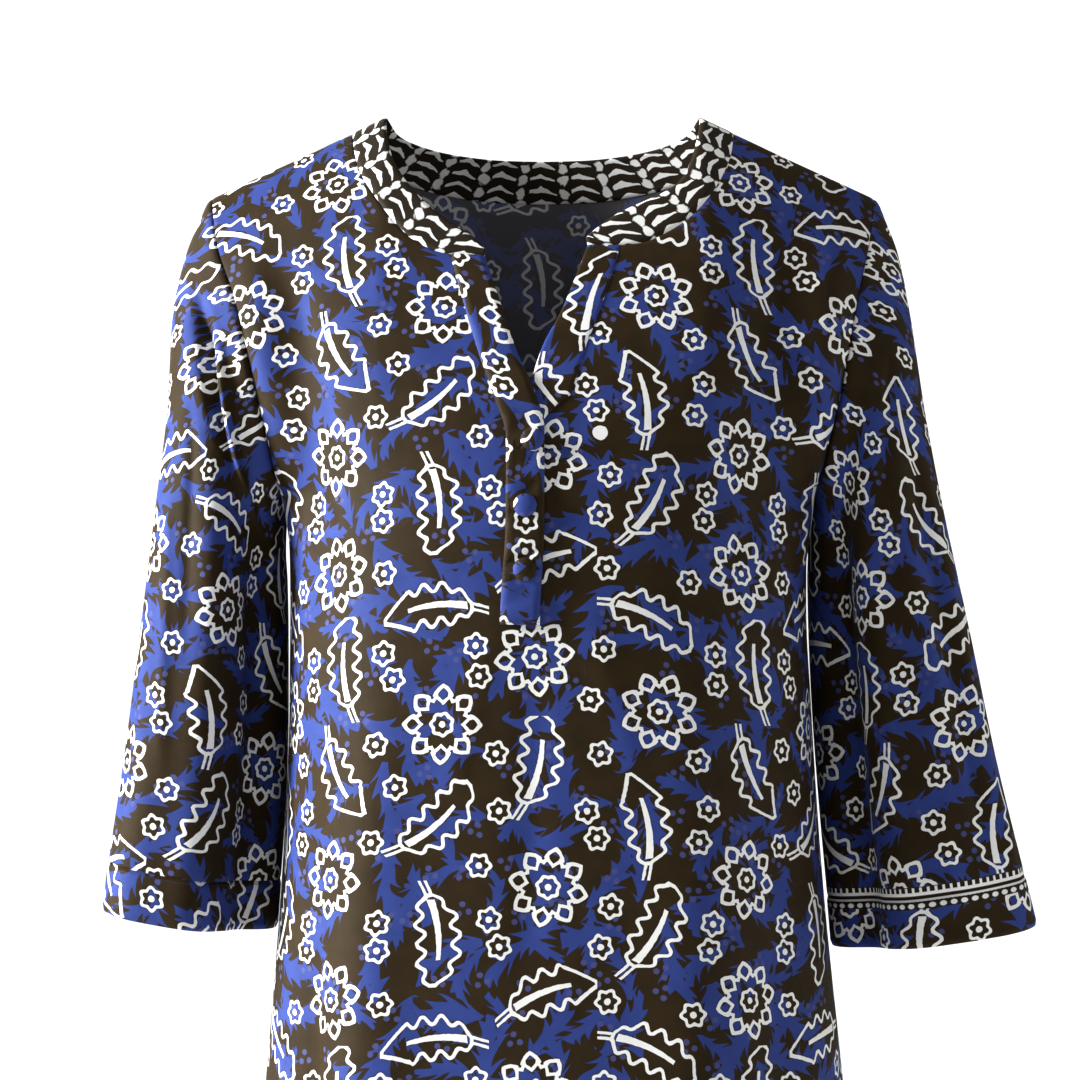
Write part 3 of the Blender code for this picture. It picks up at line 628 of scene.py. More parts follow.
def straight(places, run, points):
    """Points that stand at the distances of run, read at places with straight lines between them."""
    return np.stack([np.interp(places, run, axis) for axis in points.T], axis=-1)


def ease(x):
    """A smooth step from 0 to 1."""
    x = np.clip(x, 0.0, 1.0)
    return x * x * (3 - 2 * x)


def size(vectors):
    """The length of each vector."""
    return np.linalg.norm(vectors, axis=-1)


def unit(vectors):
    return vectors / size(vectors)[..., None]


def turn(degrees):
    """A matrix that turns the flat places that it follows in a product anticlockwise."""
    c, s = math.cos(math.radians(degrees)), math.sin(math.radians(degrees))
    return np.array([(c, s), (-s, c)])


def lengths(points, axis=0):
    """Distance of each point from the first, along the lines that they make."""
    steps = np.cumsum(size(np.diff(points, axis=axis)), axis=axis)
    return np.concatenate([np.zeros_like(np.take(steps, [0], axis=axis)), steps], axis=axis)


def near_ends(count):
    """Shares from 0 to 1 in count steps, which are shorter near both ends."""
    t = np.linspace(0, 1, count + 1)
    t = t + SHORT_STEPS * SHORT_REACH * (np.exp(-t / SHORT_REACH) - np.exp((t - 1) / SHORT_REACH))
    return (t - t[0]) / (t[-1] - t[0])


# ---- The torso ----


def width_at(side, z):
    return read(WIDTHS, 1 if side == "right" else 2, z)


def torso(x, z, face):
    """The torso's cloth at (x, z), on the front for face "front" and on the back for face "back"."""
    reach = np.abs(x)
    neck_rise = BACK_NECK_RISE if face == "back" else 0.0
    inside_neck = neck_rise * (1 - (reach / NECK_HALF) ** 2)
    ridge = np.where(reach < NECK_HALF, inside_neck, shoulder_height(reach))
    drop = np.maximum(ridge - z, 0.0)
    depth = smooth(np.sqrt(DEPTHS[:, 0]), DEPTHS[:, 1 if face == "front" else 2], np.sqrt(drop))
    ratio = reach / np.where(x < 0, width_at("right", z), width_at("left", z))
    power = read(WIDTHS, 3, z)
    open_side = ratio < 1 - SAME_POINT
    roundness = np.where(open_side, (1 - np.minimum(ratio, 1.0) ** power) ** (1 / power), 0.0)
    return np.stack([x, (-depth if face == "front" else depth) * roundness, z], axis=-1)


def centre_x(z):
    return read(CENTRE, 1, z)


def armhole_edge(side, face):
    """Points (x, z) of the armhole seam, evenly spaced from the underarm to the shoulder tip."""
    column = 1 + (side == "left") + 2 * (face == "back")
    sweep = (1 - np.cos(np.linspace(0, math.pi, EDGE_SAMPLES))) / 2
    z = ARMHOLES[0, 0] + (ARMHOLES[-1, 0] - ARMHOLES[0, 0]) * sweep
    points = torso(SIDES[side] * read(ARMHOLES, column, z), z, face)
    run = lengths(points)
    return straight(run[-1] * np.linspace(0, 1, ARMHOLE_ROWS + 1), run, points)[:, [0, 2]]


def inner_edge(side, face):
    """Points (x, z) where the rows above the underarm start: up the centre, then round the opening."""
    if face == "back":
        heights = np.linspace(UNDERARM, NECK_BACK[0, 3], BACK_CENTRE_ROWS + 1)[1:]
        start = [(0.0, z) for z in heights]
        neck, count = NECK_BACK, BACK_NECK_ROWS
    else:
        opening = along(V_EDGE[side], spread(V_EDGE[side], V_ROWS))[1:]
        start = np.concatenate([[(centre_x(z), z) for z in ROWS_TO_V], opening])
        neck, count = NECK_FRONT[side], NECK_ROWS
    return np.concatenate([start, along(neck, spread(neck, count))[1:, 2:] * (SIDES[side], 1)])


def row(start, end, face):
    """One row of the torso's cloth from start to end, both (x, z). Its points crowd towards its end."""
    sweep = 1 - (1 - np.linspace(0, 1, ROW_SAMPLES)) ** 3
    points = torso(start[0] + (end[0] - start[0]) * sweep, start[1] + (end[1] - start[1]) * sweep, face)
    run = lengths(points)
    return straight(run[-1] * (1 - (1 - near_ends(COLUMNS)) ** CROWDING), run, points)


def half(side, face):
    """Half of the front or the back: rows from the hem up, columns from the centre to the side."""
    rows = []
    for z in LOW_ROWS:
        start = (centre_x(z) if face == "front" else 0.0, z)
        rows.append(row(start, (SIDES[side] * width_at(side, z), z), face))
    for start, end in zip(inner_edge(side, face), armhole_edge(side, face)[1:]):
        rows.append(row(start, end, face))
    return np.array(rows)


def band_patch(rows, side, face, stations):
    """The neck band beside one half: rows along the neck, columns from the seam to the free edge."""
    across = np.linspace(0, 1, BAND_COLUMNS + 1)
    lines = []
    for free_x, free_z, seam_x, seam_z in along(rows, spread(rows, stations)):
        x = SIDES[side] * (seam_x + (free_x - seam_x) * across)
        lines.append(torso(x, seam_z + (free_z - seam_z) * across, face))
    return np.array(lines)


def risen(t):
    """How far a fold has risen at a share t of its length: 0 at its ends and 1 between them."""
    return ease(t / FOLD_ENDS) * ease((1 - t) / FOLD_ENDS)


def fold_lift(folds, line, run, side):
    """How far the folds lift one row of the cloth. Run is each point's distance from its first."""
    lift = np.zeros(len(line))
    for top_x, top_z, low_x, low_z, half_width, height in folds:
        t = (top_z - line[:, 2]) / (top_z - low_z)
        past = SIDES[side] * (line[:, 0] - (top_x + (low_x - top_x) * t))
        before = -np.interp(past[0], past - past[0], run)
        middle = np.interp(0.0, past, run, before, run[-1] - past[-1])
        lift += height * np.exp(-(((run - middle) / half_width) ** 2)) * risen(t)
    return lift


def folded(patch, normals, side, face):
    """The half with its folds, which die away at its side seam and its shoulder seam."""
    lifted = patch.copy()
    underarm = patch[UNDERARM_ROW, -1]
    for index, line in enumerate(patch):
        run = lengths(line)
        if index <= UNDERARM_ROW:
            calm = ease((run[-1] - run) / SEAM_CALM)
        else:
            calm = ease(size(line - underarm) / SEAM_CALM) * ease(size(line - patch[-1]) / SEAM_CALM)
        calm *= ease(size(line - patch[-1, 0]) / NECK_CALM)
        lift = fold_lift(FOLDS[face], line, run, side) * calm
        lifted[index] += lift[:, None] * normals[index]
    return lifted


def keys(points):
    """The same whole numbers for points that coincide."""
    return np.round(np.reshape(points, (-1, 3)) / SAME_POINT).astype(np.int64)


def normals_of(patches, middle):
    """Outward normals of grids of points round a middle, the same wherever two grids meet."""
    all_keys = np.concatenate([keys(patch) for patch in patches.values()])
    _, index = np.unique(all_keys, axis=0, return_inverse=True)
    index = index.reshape(-1)
    total = np.zeros((index.max() + 1, 3))
    spots, start = {}, 0
    for name, patch in patches.items():
        rows, columns = patch.shape[:2]
        spot = spots[name] = index[start : start + rows * columns].reshape(rows, columns)
        start += rows * columns
        faces = np.cross(patch[1:, 1:] - patch[:-1, :-1], patch[:-1, 1:] - patch[1:, :-1])
        centres = (patch[1:, 1:] + patch[:-1, :-1]) / 2
        faces *= np.sign((faces * (centres - middle)).sum())
        for corner in (spot[:-1, :-1], spot[:-1, 1:], spot[1:, :-1], spot[1:, 1:]):
            np.add.at(total, corner.reshape(-1), faces.reshape(-1, 3))
    return {name: unit(total[spot]) for name, spot in spots.items()}


def torso_grids():
    """The plain grids of points of the torso, and its folded cloth: (points, normals) of each grid."""
    plain = {}
    for side in SIDES:
        plain[f"front_{side}"] = half(side, "front")
        plain[f"back_{side}"] = half(side, "back")
        plain[f"front_band_{side}"] = band_patch(NECK_FRONT[side], side, "front", NECK_ROWS)
        plain[f"back_band_{side}"] = band_patch(NECK_BACK, side, "back", BACK_NECK_ROWS)
    plain_normals = normals_of(plain, TORSO_MIDDLE)
    grids = dict(plain)
    for side in SIDES:
        for face in FOLDS:
            name = f"{face}_{side}"
            grids[name] = folded(plain[name], plain_normals[name], side, face)
    for face, last in (("front", V_FOOT_ROW), ("back", NECK_ROW["back"])):
        right, left = (grids[f"{face}_{side}"] for side in SIDES)
        middle = (right[: last + 1, 0] + left[: last + 1, 0]) / 2
        right[: last + 1, 0] = left[: last + 1, 0] = middle
    normals = normals_of(grids, TORSO_MIDDLE)
    return plain, {name: (grid, normals[name]) for name, grid in grids.items()}


# ---- Flat coordinates: where each point lies on the cloth that its piece was cut from ----


def flat_torso(patch, face):
    """Metres across from the centre and up from the shoulder, for each point of a plain half."""
    share = np.linspace(0, 1, FLAT_SAMPLES)
    x, z = patch[..., 0], patch[..., 2]
    across = torso(x[..., None] * share, np.repeat(z[..., None], FLAT_SAMPLES, axis=-1), face)
    u = lengths(across, axis=2)[..., -1] * np.sign(x)
    top = np.where(np.abs(x) < NECK_HALF, 0.0, shoulder_height(np.abs(x)))
    level = np.maximum(z, UNDERARM)
    heights = top[..., None] + (level - top)[..., None] * share**2
    down = torso(np.repeat(x[..., None], FLAT_SAMPLES, axis=-1), heights, face)
    v = top - lengths(down, axis=2)[..., -1]
    v[:UNDERARM_ROW] = v[UNDERARM_ROW] + z[:UNDERARM_ROW] - UNDERARM
    return np.stack([u, v], axis=-1)


def flat_sleeve(rings):
    """Metres round from the outside and up from the band's seam, for each point of a sleeve's rings."""
    run = lengths(rings, axis=1)
    down = lengths(rings, axis=0)
    return np.stack([run - run[:, [run.shape[1] // 2]], down[SLEEVE_ROWS] - down], axis=-1)


def flat_band(patch):
    """Metres along the seam and across from it, for each point of a strip of cloth."""
    middle = lengths(patch[:, patch.shape[1] // 2])
    return np.stack([np.repeat(middle[:, None], patch.shape[1], axis=1), lengths(patch, axis=1)], axis=-1)


def laid(flat, name):
    """The same flat coordinates, cut from the piece's own place on the cloth."""
    across, up, degrees = ON_CLOTH[name]
    return flat @ turn(degrees) + (across, up)


# ---- Meshes ----


def corners_of(grid):
    """The four corners of each face of a grid, in order round the face."""
    corners = np.stack([grid[:-1, :-1], grid[:-1, 1:], grid[1:, 1:], grid[1:, :-1]], axis=2)
    return corners.reshape(-1, *corners.shape[2:])


def tube_faces(first, rings, sides):
    """The faces of a closed tube through rings of points, which are counted from first."""
    faces = []
    for low in range(first, first + (rings - 1) * sides, sides):
        for step in range(sides):
            after = (step + 1) % sides
            faces.append([low + step, low + after, low + sides + after, low + sides + step])
    start, end = (list(range(ring, ring + sides)) for ring in (first, first + (rings - 1) * sides))
    return [*faces, start[::-1], end]


def add_object(name, data):
    made = bpy.data.objects.new(name, data)
    bpy.context.scene.collection.objects.link(made)
    return made


def add_piece(name, vertices, faces, materials, uvs=None):
    """A piece of the dress, smooth, riding on its body. Uvs are one pair for each corner of each face."""
    mesh = bpy.data.meshes.new(name)
    mesh.from_pydata(vertices.tolist(), [], faces)
    if uvs is not None:
        layer = mesh.uv_layers.new(name="cloth")
        layer.data.foreach_set("uv", np.asarray(uvs, dtype=np.float32).reshape(-1))
    for material in materials:
        mesh.materials.append(material)
    mesh.validate()
    mesh.shade_smooth()
    piece = add_object(name, mesh)
    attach(piece, "root")
    return piece


def add_cloth(name, sheets, thickness, materials):
    """A thin closed shell in place of a node. Sheets are (points, normals, flat coordinates).
    """
    points = np.concatenate([sheet[0].reshape(-1, 3) for sheet in sheets])
    _, first, index = np.unique(keys(points), axis=0, return_index=True, return_inverse=True)
    index = index.reshape(-1)
    faces, uvs, start, area = [], [], 0, 0.0
    for sheet, normals, flat in sheets:
        rows, columns = sheet.shape[:2]
        corners = corners_of(index[start : start + rows * columns].reshape(rows, columns))
        pairs = corners_of(flat)
        start += rows * columns
        turned = np.cross(sheet[:-1, 1:] - sheet[1:, :-1], sheet[1:, 1:] - sheet[:-1, :-1])
        area += size(turned).sum() / 2
        if (turned * normals[:-1, :-1]).sum() < 0:
            corners, pairs = corners[:, ::-1], pairs[:, ::-1]
        for corner, pair in zip(corners.tolist(), pairs):
            kept = [i for i in range(4) if corner[i] != corner[i - 1]]
            if len(kept) > 2:
                faces.append([corner[i] for i in kept])
                uvs.extend(pair[i] for i in kept)
    piece = add_piece(f"{name}_cloth", points[first], faces, materials, uvs)
    thick = piece.modifiers.new("cloth", "SOLIDIFY")
    thick.thickness = thickness
    thick.offset = -1.0
    thick.use_even_offset = False
    thick.material_offset = len(materials) - 1
    thick.material_offset_rim = 0
    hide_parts(name)


# ---- The dress's cloth pieces ----


def lowered(points, normals, depth):
    """Points moved into the cloth by a depth, one number for each."""
    return points - depth[..., None] * normals


def dip(distance):
    """How far cloth lies below its surface at a distance from a seam."""
    return SEAM_DIP * np.clip(1 - distance / SEAM_REACH, 0.0, 1.0) ** 2


def turned_edge(distance):
    """How far a folded edge rounds away at a distance from it."""
    return EDGE_DROP * np.clip(1 - distance / EDGE_ROUND, 0.0, 1.0) ** 2


def crown(from_seam, from_edge):
    """How far a doubled band stands up between its seam and its folded edge."""
    return BAND_CROWN * ease(from_seam / SEAM_REACH) * ease(from_edge / EDGE_ROUND)


def build_torso(plain, cloth, materials):
    """The front and the back, each one shell of two halves that dips at its seams."""
    for face in FOLDS:
        sheets = []
        for side in SIDES:
            name = f"{face}_{side}"
            patch, normals = cloth[name]
            to_neck = size(patch[:, :, None] - patch[NECK_ROW[face] :, 0]).min(axis=-1)
            to_seam = np.minimum(to_neck, np.minimum(size(patch - patch[:, -1:]), size(patch - patch[-1])))
            flat = laid(flat_torso(plain[name], face), face)
            sheets.append((lowered(patch, normals, dip(to_seam)), normals, flat))
        add_cloth(face, sheets, SHELL, materials)


def build_neck(cloth, materials):
    """The neck band: two fronts, and one back over both halves."""
    for name, places in NECK_BANDS.items():
        sheets = []
        for patch_name, (start, way) in places.items():
            patch, normals = cloth[patch_name]
            width = lengths(patch, axis=1)
            to_free = width[:, -1:] - width
            depth = dip(np.minimum(width, size(patch - patch[-1]))) + turned_edge(to_free)
            depth = depth - crown(width, to_free)
            flat = flat_band(patch) * (way, 1) + (start, 0.0)
            sheets.append((lowered(patch, normals, depth), normals, flat))
        add_cloth(name, sheets, BAND_SHELL, materials)


def on_line(line, places, zero=0.0):
    """Points and normals at distances along a line, whose own (points, normals) start at zero."""
    run = lengths(line[0]) + zero
    points, normals = (straight(places, run, part) for part in line)
    return points, unit(normals)


def on_row(cloth, index, places):
    """Points and normals on one row of the front, at distances from the front edge."""
    halves = zip(cloth["front_right"], cloth["front_left"])
    line = [np.concatenate([right[index][::-1], left[index][1:]]) for right, left in halves]
    return on_line(line, places, -lengths(cloth["front_right"][0][index])[-1])


def on_front(cloth, side, index, places):
    """The same at a row counted with fractions. Above the V's foot the row is one half's own."""
    low = min(int(index), NECK_ROW["front"] - 1)
    ends = []
    for whole in (low, low + 1):
        if whole <= V_FOOT_ROW:
            ends.append(on_row(cloth, whole, places))
        else:
            ends.append(on_line([part[whole] for part in cloth[f"front_{side}"]], places * SIDES[side]))
    points, normals = (below + (above - below) * (index - low) for below, above in zip(*ends))
    return points, unit(normals)


def puckers(lines, width):
    """How far the overlap's cloth sinks in the creases that run across it between its buttons."""
    depth = np.zeros(width.shape)
    for height, slope, half_width, sunk in PUCKERS:
        away = lines[..., 2] - height - slope * (width - width[:, -1:] / 2)
        depth = np.maximum(depth, sunk * np.exp(-((away / half_width) ** 2)))
    return depth - PUCKER_RISE


def strip_grid(cloth, side, edges, rows, solid_rows):
    """Points, normals and flat coordinates of a strip on the front, up to the neck band's seam."""
    across = (1 - np.cos(np.linspace(0, math.pi, STRIP_COLUMNS + 1))) / 2
    lines = []
    for index, (start, end) in zip(rows, along(edges, solid_rows)):
        places = start + (end - start) * across
        points, normals = on_front(cloth, side, index, places)
        lines.append((points, normals, np.stack([places, points[:, 2]], axis=-1)))
    seam = [part[NECK_ROW["front"] :, 0] for part in cloth[f"front_{side}"]]
    last, last_normals = on_line(seam, places * SIDES[side])
    top, top_normals, top_flat = lines[-1]
    rise = np.stack([np.zeros(len(top)), size(last - top)], axis=-1)
    for share in np.linspace(0, 1, WEDGE_ROWS + 1)[1:]:
        normals = unit(top_normals + (last_normals - top_normals) * share)
        lines.append((top + (last - top) * share, normals, top_flat + rise * share))
    return [np.array(part) for part in zip(*lines)]


def build_strip(name, side, edges, stands, cloth, materials):
    """A strip beside the opening, with turned edges. Edges and stands have a row for each solid row."""
    above = UNDERARM_ROW + PARTS * np.arange(len(edges) - 2)
    starts = np.concatenate([[ROWS_TO_PLACKET, ROWS_TO_PLACKET + LOW_PARTS], above])
    rows = np.concatenate([[starts[0], starts[0] + END_ROW], np.arange(starts[0] + 1, starts[-1] + 1)])
    solid_rows = np.interp(rows, starts, np.arange(len(starts)))
    heights = np.interp(solid_rows, np.arange(len(stands)), stands)
    flush = (STRIP_STAND - FLUSH_STAND) * ease(solid_rows - FLUSH_ROW)
    heights = np.where(heights > STRIP_STAND, heights, heights - flush)
    heights = np.concatenate([heights, np.full(WEDGE_ROWS, heights[-1])])[:, None]
    lines, facing, flat = strip_grid(cloth, side, edges, rows, solid_rows)
    width = lengths(lines, axis=1)
    from_side = np.minimum(width, width[:, -1:] - width)
    tucked = (heights - TUCKED_STAND) * (1 - ease(size(lines - lines[-1]) / TUCK_REACH))
    depth = turned_edge(np.minimum(from_side, size(lines - lines[0]))) + tucked - heights
    if name == "placket_overlap":
        depth = depth + puckers(lines, width) * ease(from_side / PUCKER_CALM)
    sheet = lowered(lines, facing, depth)
    add_cloth(name, [(sheet, facing, laid(flat, name))], BAND_SHELL, materials)
    return sheet, facing


def build_strips(cloth, materials):
    """The overlap on the wearer's right and the underlap that starts at the other edge of the V."""
    overlap_edges = np.stack([np.zeros(len(STRIPS)), -STRIPS[:, 0]], axis=-1)
    raised = np.where(np.arange(len(STRIPS)) < RAISED_ROWS, OVERLAP_STAND, STRIP_STAND)
    level = np.full(len(STRIPS), STRIP_STAND)
    overlap = build_strip("placket_overlap", "right", overlap_edges, raised, cloth, materials)
    build_strip("placket_underlap", "left", STRIPS[:, 1:], level, cloth, materials)
    return overlap


def sleeve_rings(side, places, armhole):
    """Rings of a sleeve at places counted in rows of its table. Each starts and ends at its outside."""
    angle = np.linspace(0, FULL_TURN, 2 * ARMHOLE_ROWS + 1)

    def ring(place):
        values = along(SLEEVES[side], place)
        outer, inner, half_depth = values[:3], values[3:6], values[6]
        points = (outer + inner) / 2 + np.cos(angle)[:, None] * (outer - inner) / 2
        points[:, 1] -= half_depth * np.sin(angle)
        return points * (SIDES[side], 1, 1)

    own_outline = armhole - ring(0.0)
    rings = np.array([ring(place) + own_outline * (1 - ease(place / BLEND_STATIONS)) for place in places])
    rings[:, -1] = rings[:, 0]
    return rings


def sleeve_lift(side, places):
    """How far the folds of a sleeve lift its rings."""
    angle = np.linspace(0, 360, 2 * ARMHOLE_ROWS + 1)[None, :]
    place = places[:, None]
    lift = np.zeros((len(places), angle.shape[1]))
    for top_angle, top_place, low_angle, low_place, half_width, height in SLEEVE_FOLDS[side]:
        t = (place - top_place) / (low_place - top_place)
        middle = top_angle + (low_angle - top_angle) * t
        lift += height * np.exp(-(((angle - middle) / half_width) ** 2)) * risen(t)
    lift[:, -1] = lift[:, 0]
    return lift


def armhole_ring(cloth, side):
    """The armhole seam as one ring, from the shoulder tip down the front and up the back."""
    parts = zip(cloth[f"front_{side}"], cloth[f"back_{side}"])
    return [np.concatenate([a[UNDERARM_ROW:, -1][::-1], b[UNDERARM_ROW + 1 :, -1]]) for a, b in parts]


def build_sleeve(cloth, side, materials):
    """A sleeve and its hem band. Returns the band's points and normals."""
    armhole, armhole_normals = armhole_ring(cloth, side)
    band_start = len(SLEEVES[side]) - 2
    band_places = band_start + np.linspace(0, 1, CUFF_ROWS + 1)[1:]
    places = np.concatenate([band_start * near_ends(SLEEVE_ROWS), band_places])
    rings = sleeve_rings(side, places, armhole)
    middle = rings.mean(axis=(0, 1))
    plain_normals = normals_of({"sleeve": rings}, middle)["sleeve"]
    folds = rings + sleeve_lift(side, places)[..., None] * plain_normals
    folds[0] = armhole
    facing = normals_of({"sleeve": folds}, middle)["sleeve"]
    facing[0] = armhole_normals
    run = lengths(folds, axis=0)
    to_band = np.abs(run - run[SLEEVE_ROWS])
    to_hem = run[-1] - run
    depth = dip(np.minimum(run, to_band)) + turned_edge(to_hem)
    depth[SLEEVE_ROWS:] -= crown(to_band, to_hem)[SLEEVE_ROWS:]
    depth = depth - SEAM_PUFF * run / PUFF_REACH * np.exp(1 - run / PUFF_REACH)
    shaped = lowered(folds, facing, depth)
    flat = flat_sleeve(rings)
    for name, rows, thickness in (
        (f"sleeve_{side}", slice(0, SLEEVE_ROWS + 1), SHELL),
        (f"sleeve_band_{side}", slice(SLEEVE_ROWS, None), BAND_SHELL),
    ):
        sheet = (shaped[rows], facing[rows], laid(flat[rows], name))
        add_cloth(name, [sheet], thickness, materials)
    return shaped[SLEEVE_ROWS:], facing[SLEEVE_ROWS:]


def build_buttons(cloth, material):
    """Domed buttons covered with gathered cloth, which stand on the overlap."""
    heights = cloth["front_right"][0][: V_FOOT_ROW + 1, 0, 2]
    turns = np.linspace(0, FULL_TURN, BUTTON_SIDES, endpoint=False)
    round_it = np.stack([np.cos(turns), np.sin(turns)], axis=-1)
    rings = []
    for radius, rise, pucker in BUTTON_PROFILE:
        gathers = 1 + pucker * np.cos(BUTTON_GATHERS * turns + 2 * np.sin(turns))
        rings.append(np.column_stack([radius * gathers[:, None] * round_it, np.full(BUTTON_SIDES, rise)]))
    local = np.concatenate(rings)
    faces = tube_faces(0, len(rings), BUTTON_SIDES)
    for name, (distance, height) in BUTTONS.items():
        index = np.interp(height, heights, np.arange(len(heights)))
        base, facing = on_front(cloth, "right", index, -distance)
        across = unit(np.cross(facing, np.cross((1, 0, 0), facing)))
        axes = np.array([across, np.cross(facing, across), facing])
        points = local @ axes + base + facing * (OVERLAP_STAND + BUTTON_STAND)
        flat = laid(local[:, :2], name)
        uvs = [flat[corner] for face in faces for corner in face]
        piece = add_piece(f"{name}_cloth", points, faces, [material], uvs)
        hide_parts(name)


# ---- Thread ----


def stitches(line):
    """Points and faces of a row of stitches that lie along a line of (points, normals)."""
    run = lengths(line[0])
    count = int(run[-1] / STITCH_PITCH)
    starts = (np.arange(count) + 0.5) * run[-1] / count
    shares, sizes = np.array(STITCH_RINGS).T
    around = np.linspace(0, FULL_TURN, STITCH_SIDES, endpoint=False)[:, None]
    centre, out = on_line(line, starts[:, None] + STITCH_LENGTH * shares)
    beside = np.cross(unit(centre[:, -1:] - centre[:, :1]), out)[:, :, None]
    ring = np.cos(around) * beside + np.sin(around) * out[:, :, None]
    points = centre[:, :, None] + ring * (STITCH_RADIUS * sizes)[:, None, None]
    firsts = range(0, points[..., 0].size, len(sizes) * STITCH_SIDES)
    faces = [face for first in firsts for face in tube_faces(first, len(sizes), STITCH_SIDES)]
    return points.reshape(-1, 3), faces


def sew(name, lines, material):
    """One piece of all the stitches along some lines. Each line is (points, normals)."""
    all_points, all_faces, start = [], [], 0
    for line in lines:
        points, faces = stitches(line)
        all_points.append(points)
        all_faces += [[corner + start for corner in face] for face in faces]
        start += len(points)
    add_piece(name, np.concatenate(all_points), all_faces, [material])


def at_distance(grid, distance, axis=1):
    """The line that runs at a distance from the first edge of a grid, or from its last if negative."""
    points, normals = grid if axis else (np.swapaxes(part, 0, 1) for part in grid)
    ends = []
    for line in zip(points, normals):
        ends.append(on_line(line, distance if distance > 0 else lengths(line[0])[-1] + distance))
    return [np.array(part) for part in zip(*ends)]


# ---- Materials ----


class Signal:
    """An output in a node tree. Arithmetic on it adds math nodes."""

    def __init__(self, socket):
        self.socket = socket
        self.tree = socket.id_data

    def math(self, operation, *others):
        return add_node("ShaderNodeMath", dict(enumerate((self, *others))), operation=operation)[0]

    def flipped(self):
        """One minus the number."""
        return self * -1.0 + 1.0

    def fade(self, low, high):
        """A smooth step from 0 at low to 1 at high."""
        inputs = {"Value": self, "From Min": low, "From Max": high}
        return add_node("ShaderNodeMapRange", inputs, interpolation_type="SMOOTHSTEP")[0]


def math_method(operation):
    return lambda signal, *others: signal.math(operation, *others)


for method, operation in {
    "__add__": "ADD",
    "__sub__": "SUBTRACT",
    "__mul__": "MULTIPLY",
    "__truediv__": "DIVIDE",
    "__pow__": "POWER",
    "__abs__": "ABSOLUTE",
    "__gt__": "GREATER_THAN",
    "floor": "FLOOR",
    "fraction": "FRACT",
    "mod": "FLOORED_MODULO",
    "sin": "SINE",
    "cos": "COSINE",
    "sqrt": "SQRT",
    "sign": "SIGN",
    "atan2": "ARCTAN2",
    "min": "MINIMUM",
    "max": "MAXIMUM",
}.items():
    setattr(Signal, method, math_method(operation))


def feed(node, inputs):
    """Link or set inputs of a node."""
    for name, value in inputs.items():
        if isinstance(value, Signal):
            value.tree.links.new(value.socket, node.inputs[name])
        else:
            node.inputs[name].default_value = value


def add_node(kind, inputs, tree=None, **settings):
    """The outputs of a new node, in a tree that is given or else in that of what is fed to it."""
    tree = tree or next(value.tree for value in inputs.values() if isinstance(value, Signal))
    made = tree.nodes.new(kind)
    for name, value in settings.items():
        setattr(made, name, value)
    feed(made, inputs)
    return [Signal(socket) for socket in made.outputs]


def split(vector):
    return add_node("ShaderNodeSeparateXYZ", {0: vector})


def join(x, y, z=0.0):
    return add_node("ShaderNodeCombineXYZ", {0: x, 1: y, 2: z})[0]


def mix(amount, low, high):
    """A colour between two, by an amount from 0 to 1."""
    return add_node("ShaderNodeMix", {0: amount, 6: low, 7: high}, data_type="RGBA")[2]


def noise(place, scale, detail=0.0, roughness=0.5):
    """Smooth noise with scale waves to a metre, and the same as a vector of three."""
    inputs = {"Vector": place, "Scale": scale, "Detail": detail, "Roughness": roughness}
    return add_node("ShaderNodeTexNoise", inputs)


def wobbled(u, v, reach, scale, detail=0.0):
    """A place moved at random, by up to half of reach each way."""
    shift_u, shift_v, _ = split(noise(join(u, v), scale, detail)[1])
    return u + (shift_u - 0.5) * reach, v + (shift_v - 0.5) * reach


def lookup(index, rows):
    """The three columns of a table, with values from 0 to 1, read at a whole number."""
    colour = add_node("ShaderNodeValToRGB", {0: (index + 0.5) / float(len(rows))})[0]
    ramp = colour.socket.node.color_ramp
    ramp.interpolation = "CONSTANT"
    stops = ramp.elements
    stops.remove(stops[-1])
    for number, values in enumerate(rows):
        stop = stops.new(number / len(rows)) if number else stops[0]
        stop.position = number / len(rows)
        stop.color = (*values, 1.0)
    return add_node("ShaderNodeSeparateColor", {0: colour})


def turned(x, y, angle):
    """A place in axes that are turned by an angle."""
    c, s = angle.cos(), angle.sin()
    return x * c + y * s, y * c - x * s


def distance(x, y):
    return (x * x + y * y).sqrt()


def oval(x, y, half_x, half_y):
    """Distance to an oval with these halves, in mm."""
    return ((x / half_x) ** 2.0 + (y / half_y) ** 2.0).sqrt() - 1.0 * MM


def repeated(turns, pitch):
    """Distance from the middle of a turn, for places counted in turns that are a pitch long."""
    return (turns.fraction() - 0.5) * pitch


def star(x, y, points, depth):
    """Distance to the white of a small star flower: its outline and its middle dot."""
    r = distance(x, y)
    edge = (y.atan2(x) * float(points)).cos() * (STAR_RADIUS * depth) + STAR_RADIUS
    return (abs(r - edge) - LINE / 2).min(r - STAR_DOT)


def dots(x, y):
    """Distance to three dots in a cluster."""
    r = distance(x, y)
    angle = ((y.atan2(x) * (3 / FULL_TURN)).mod(1.0) - 0.5) * (FULL_TURN / 3)
    return distance(r * angle.cos() - DOT_RING, r * angle.sin()) - DOT_RADIUS


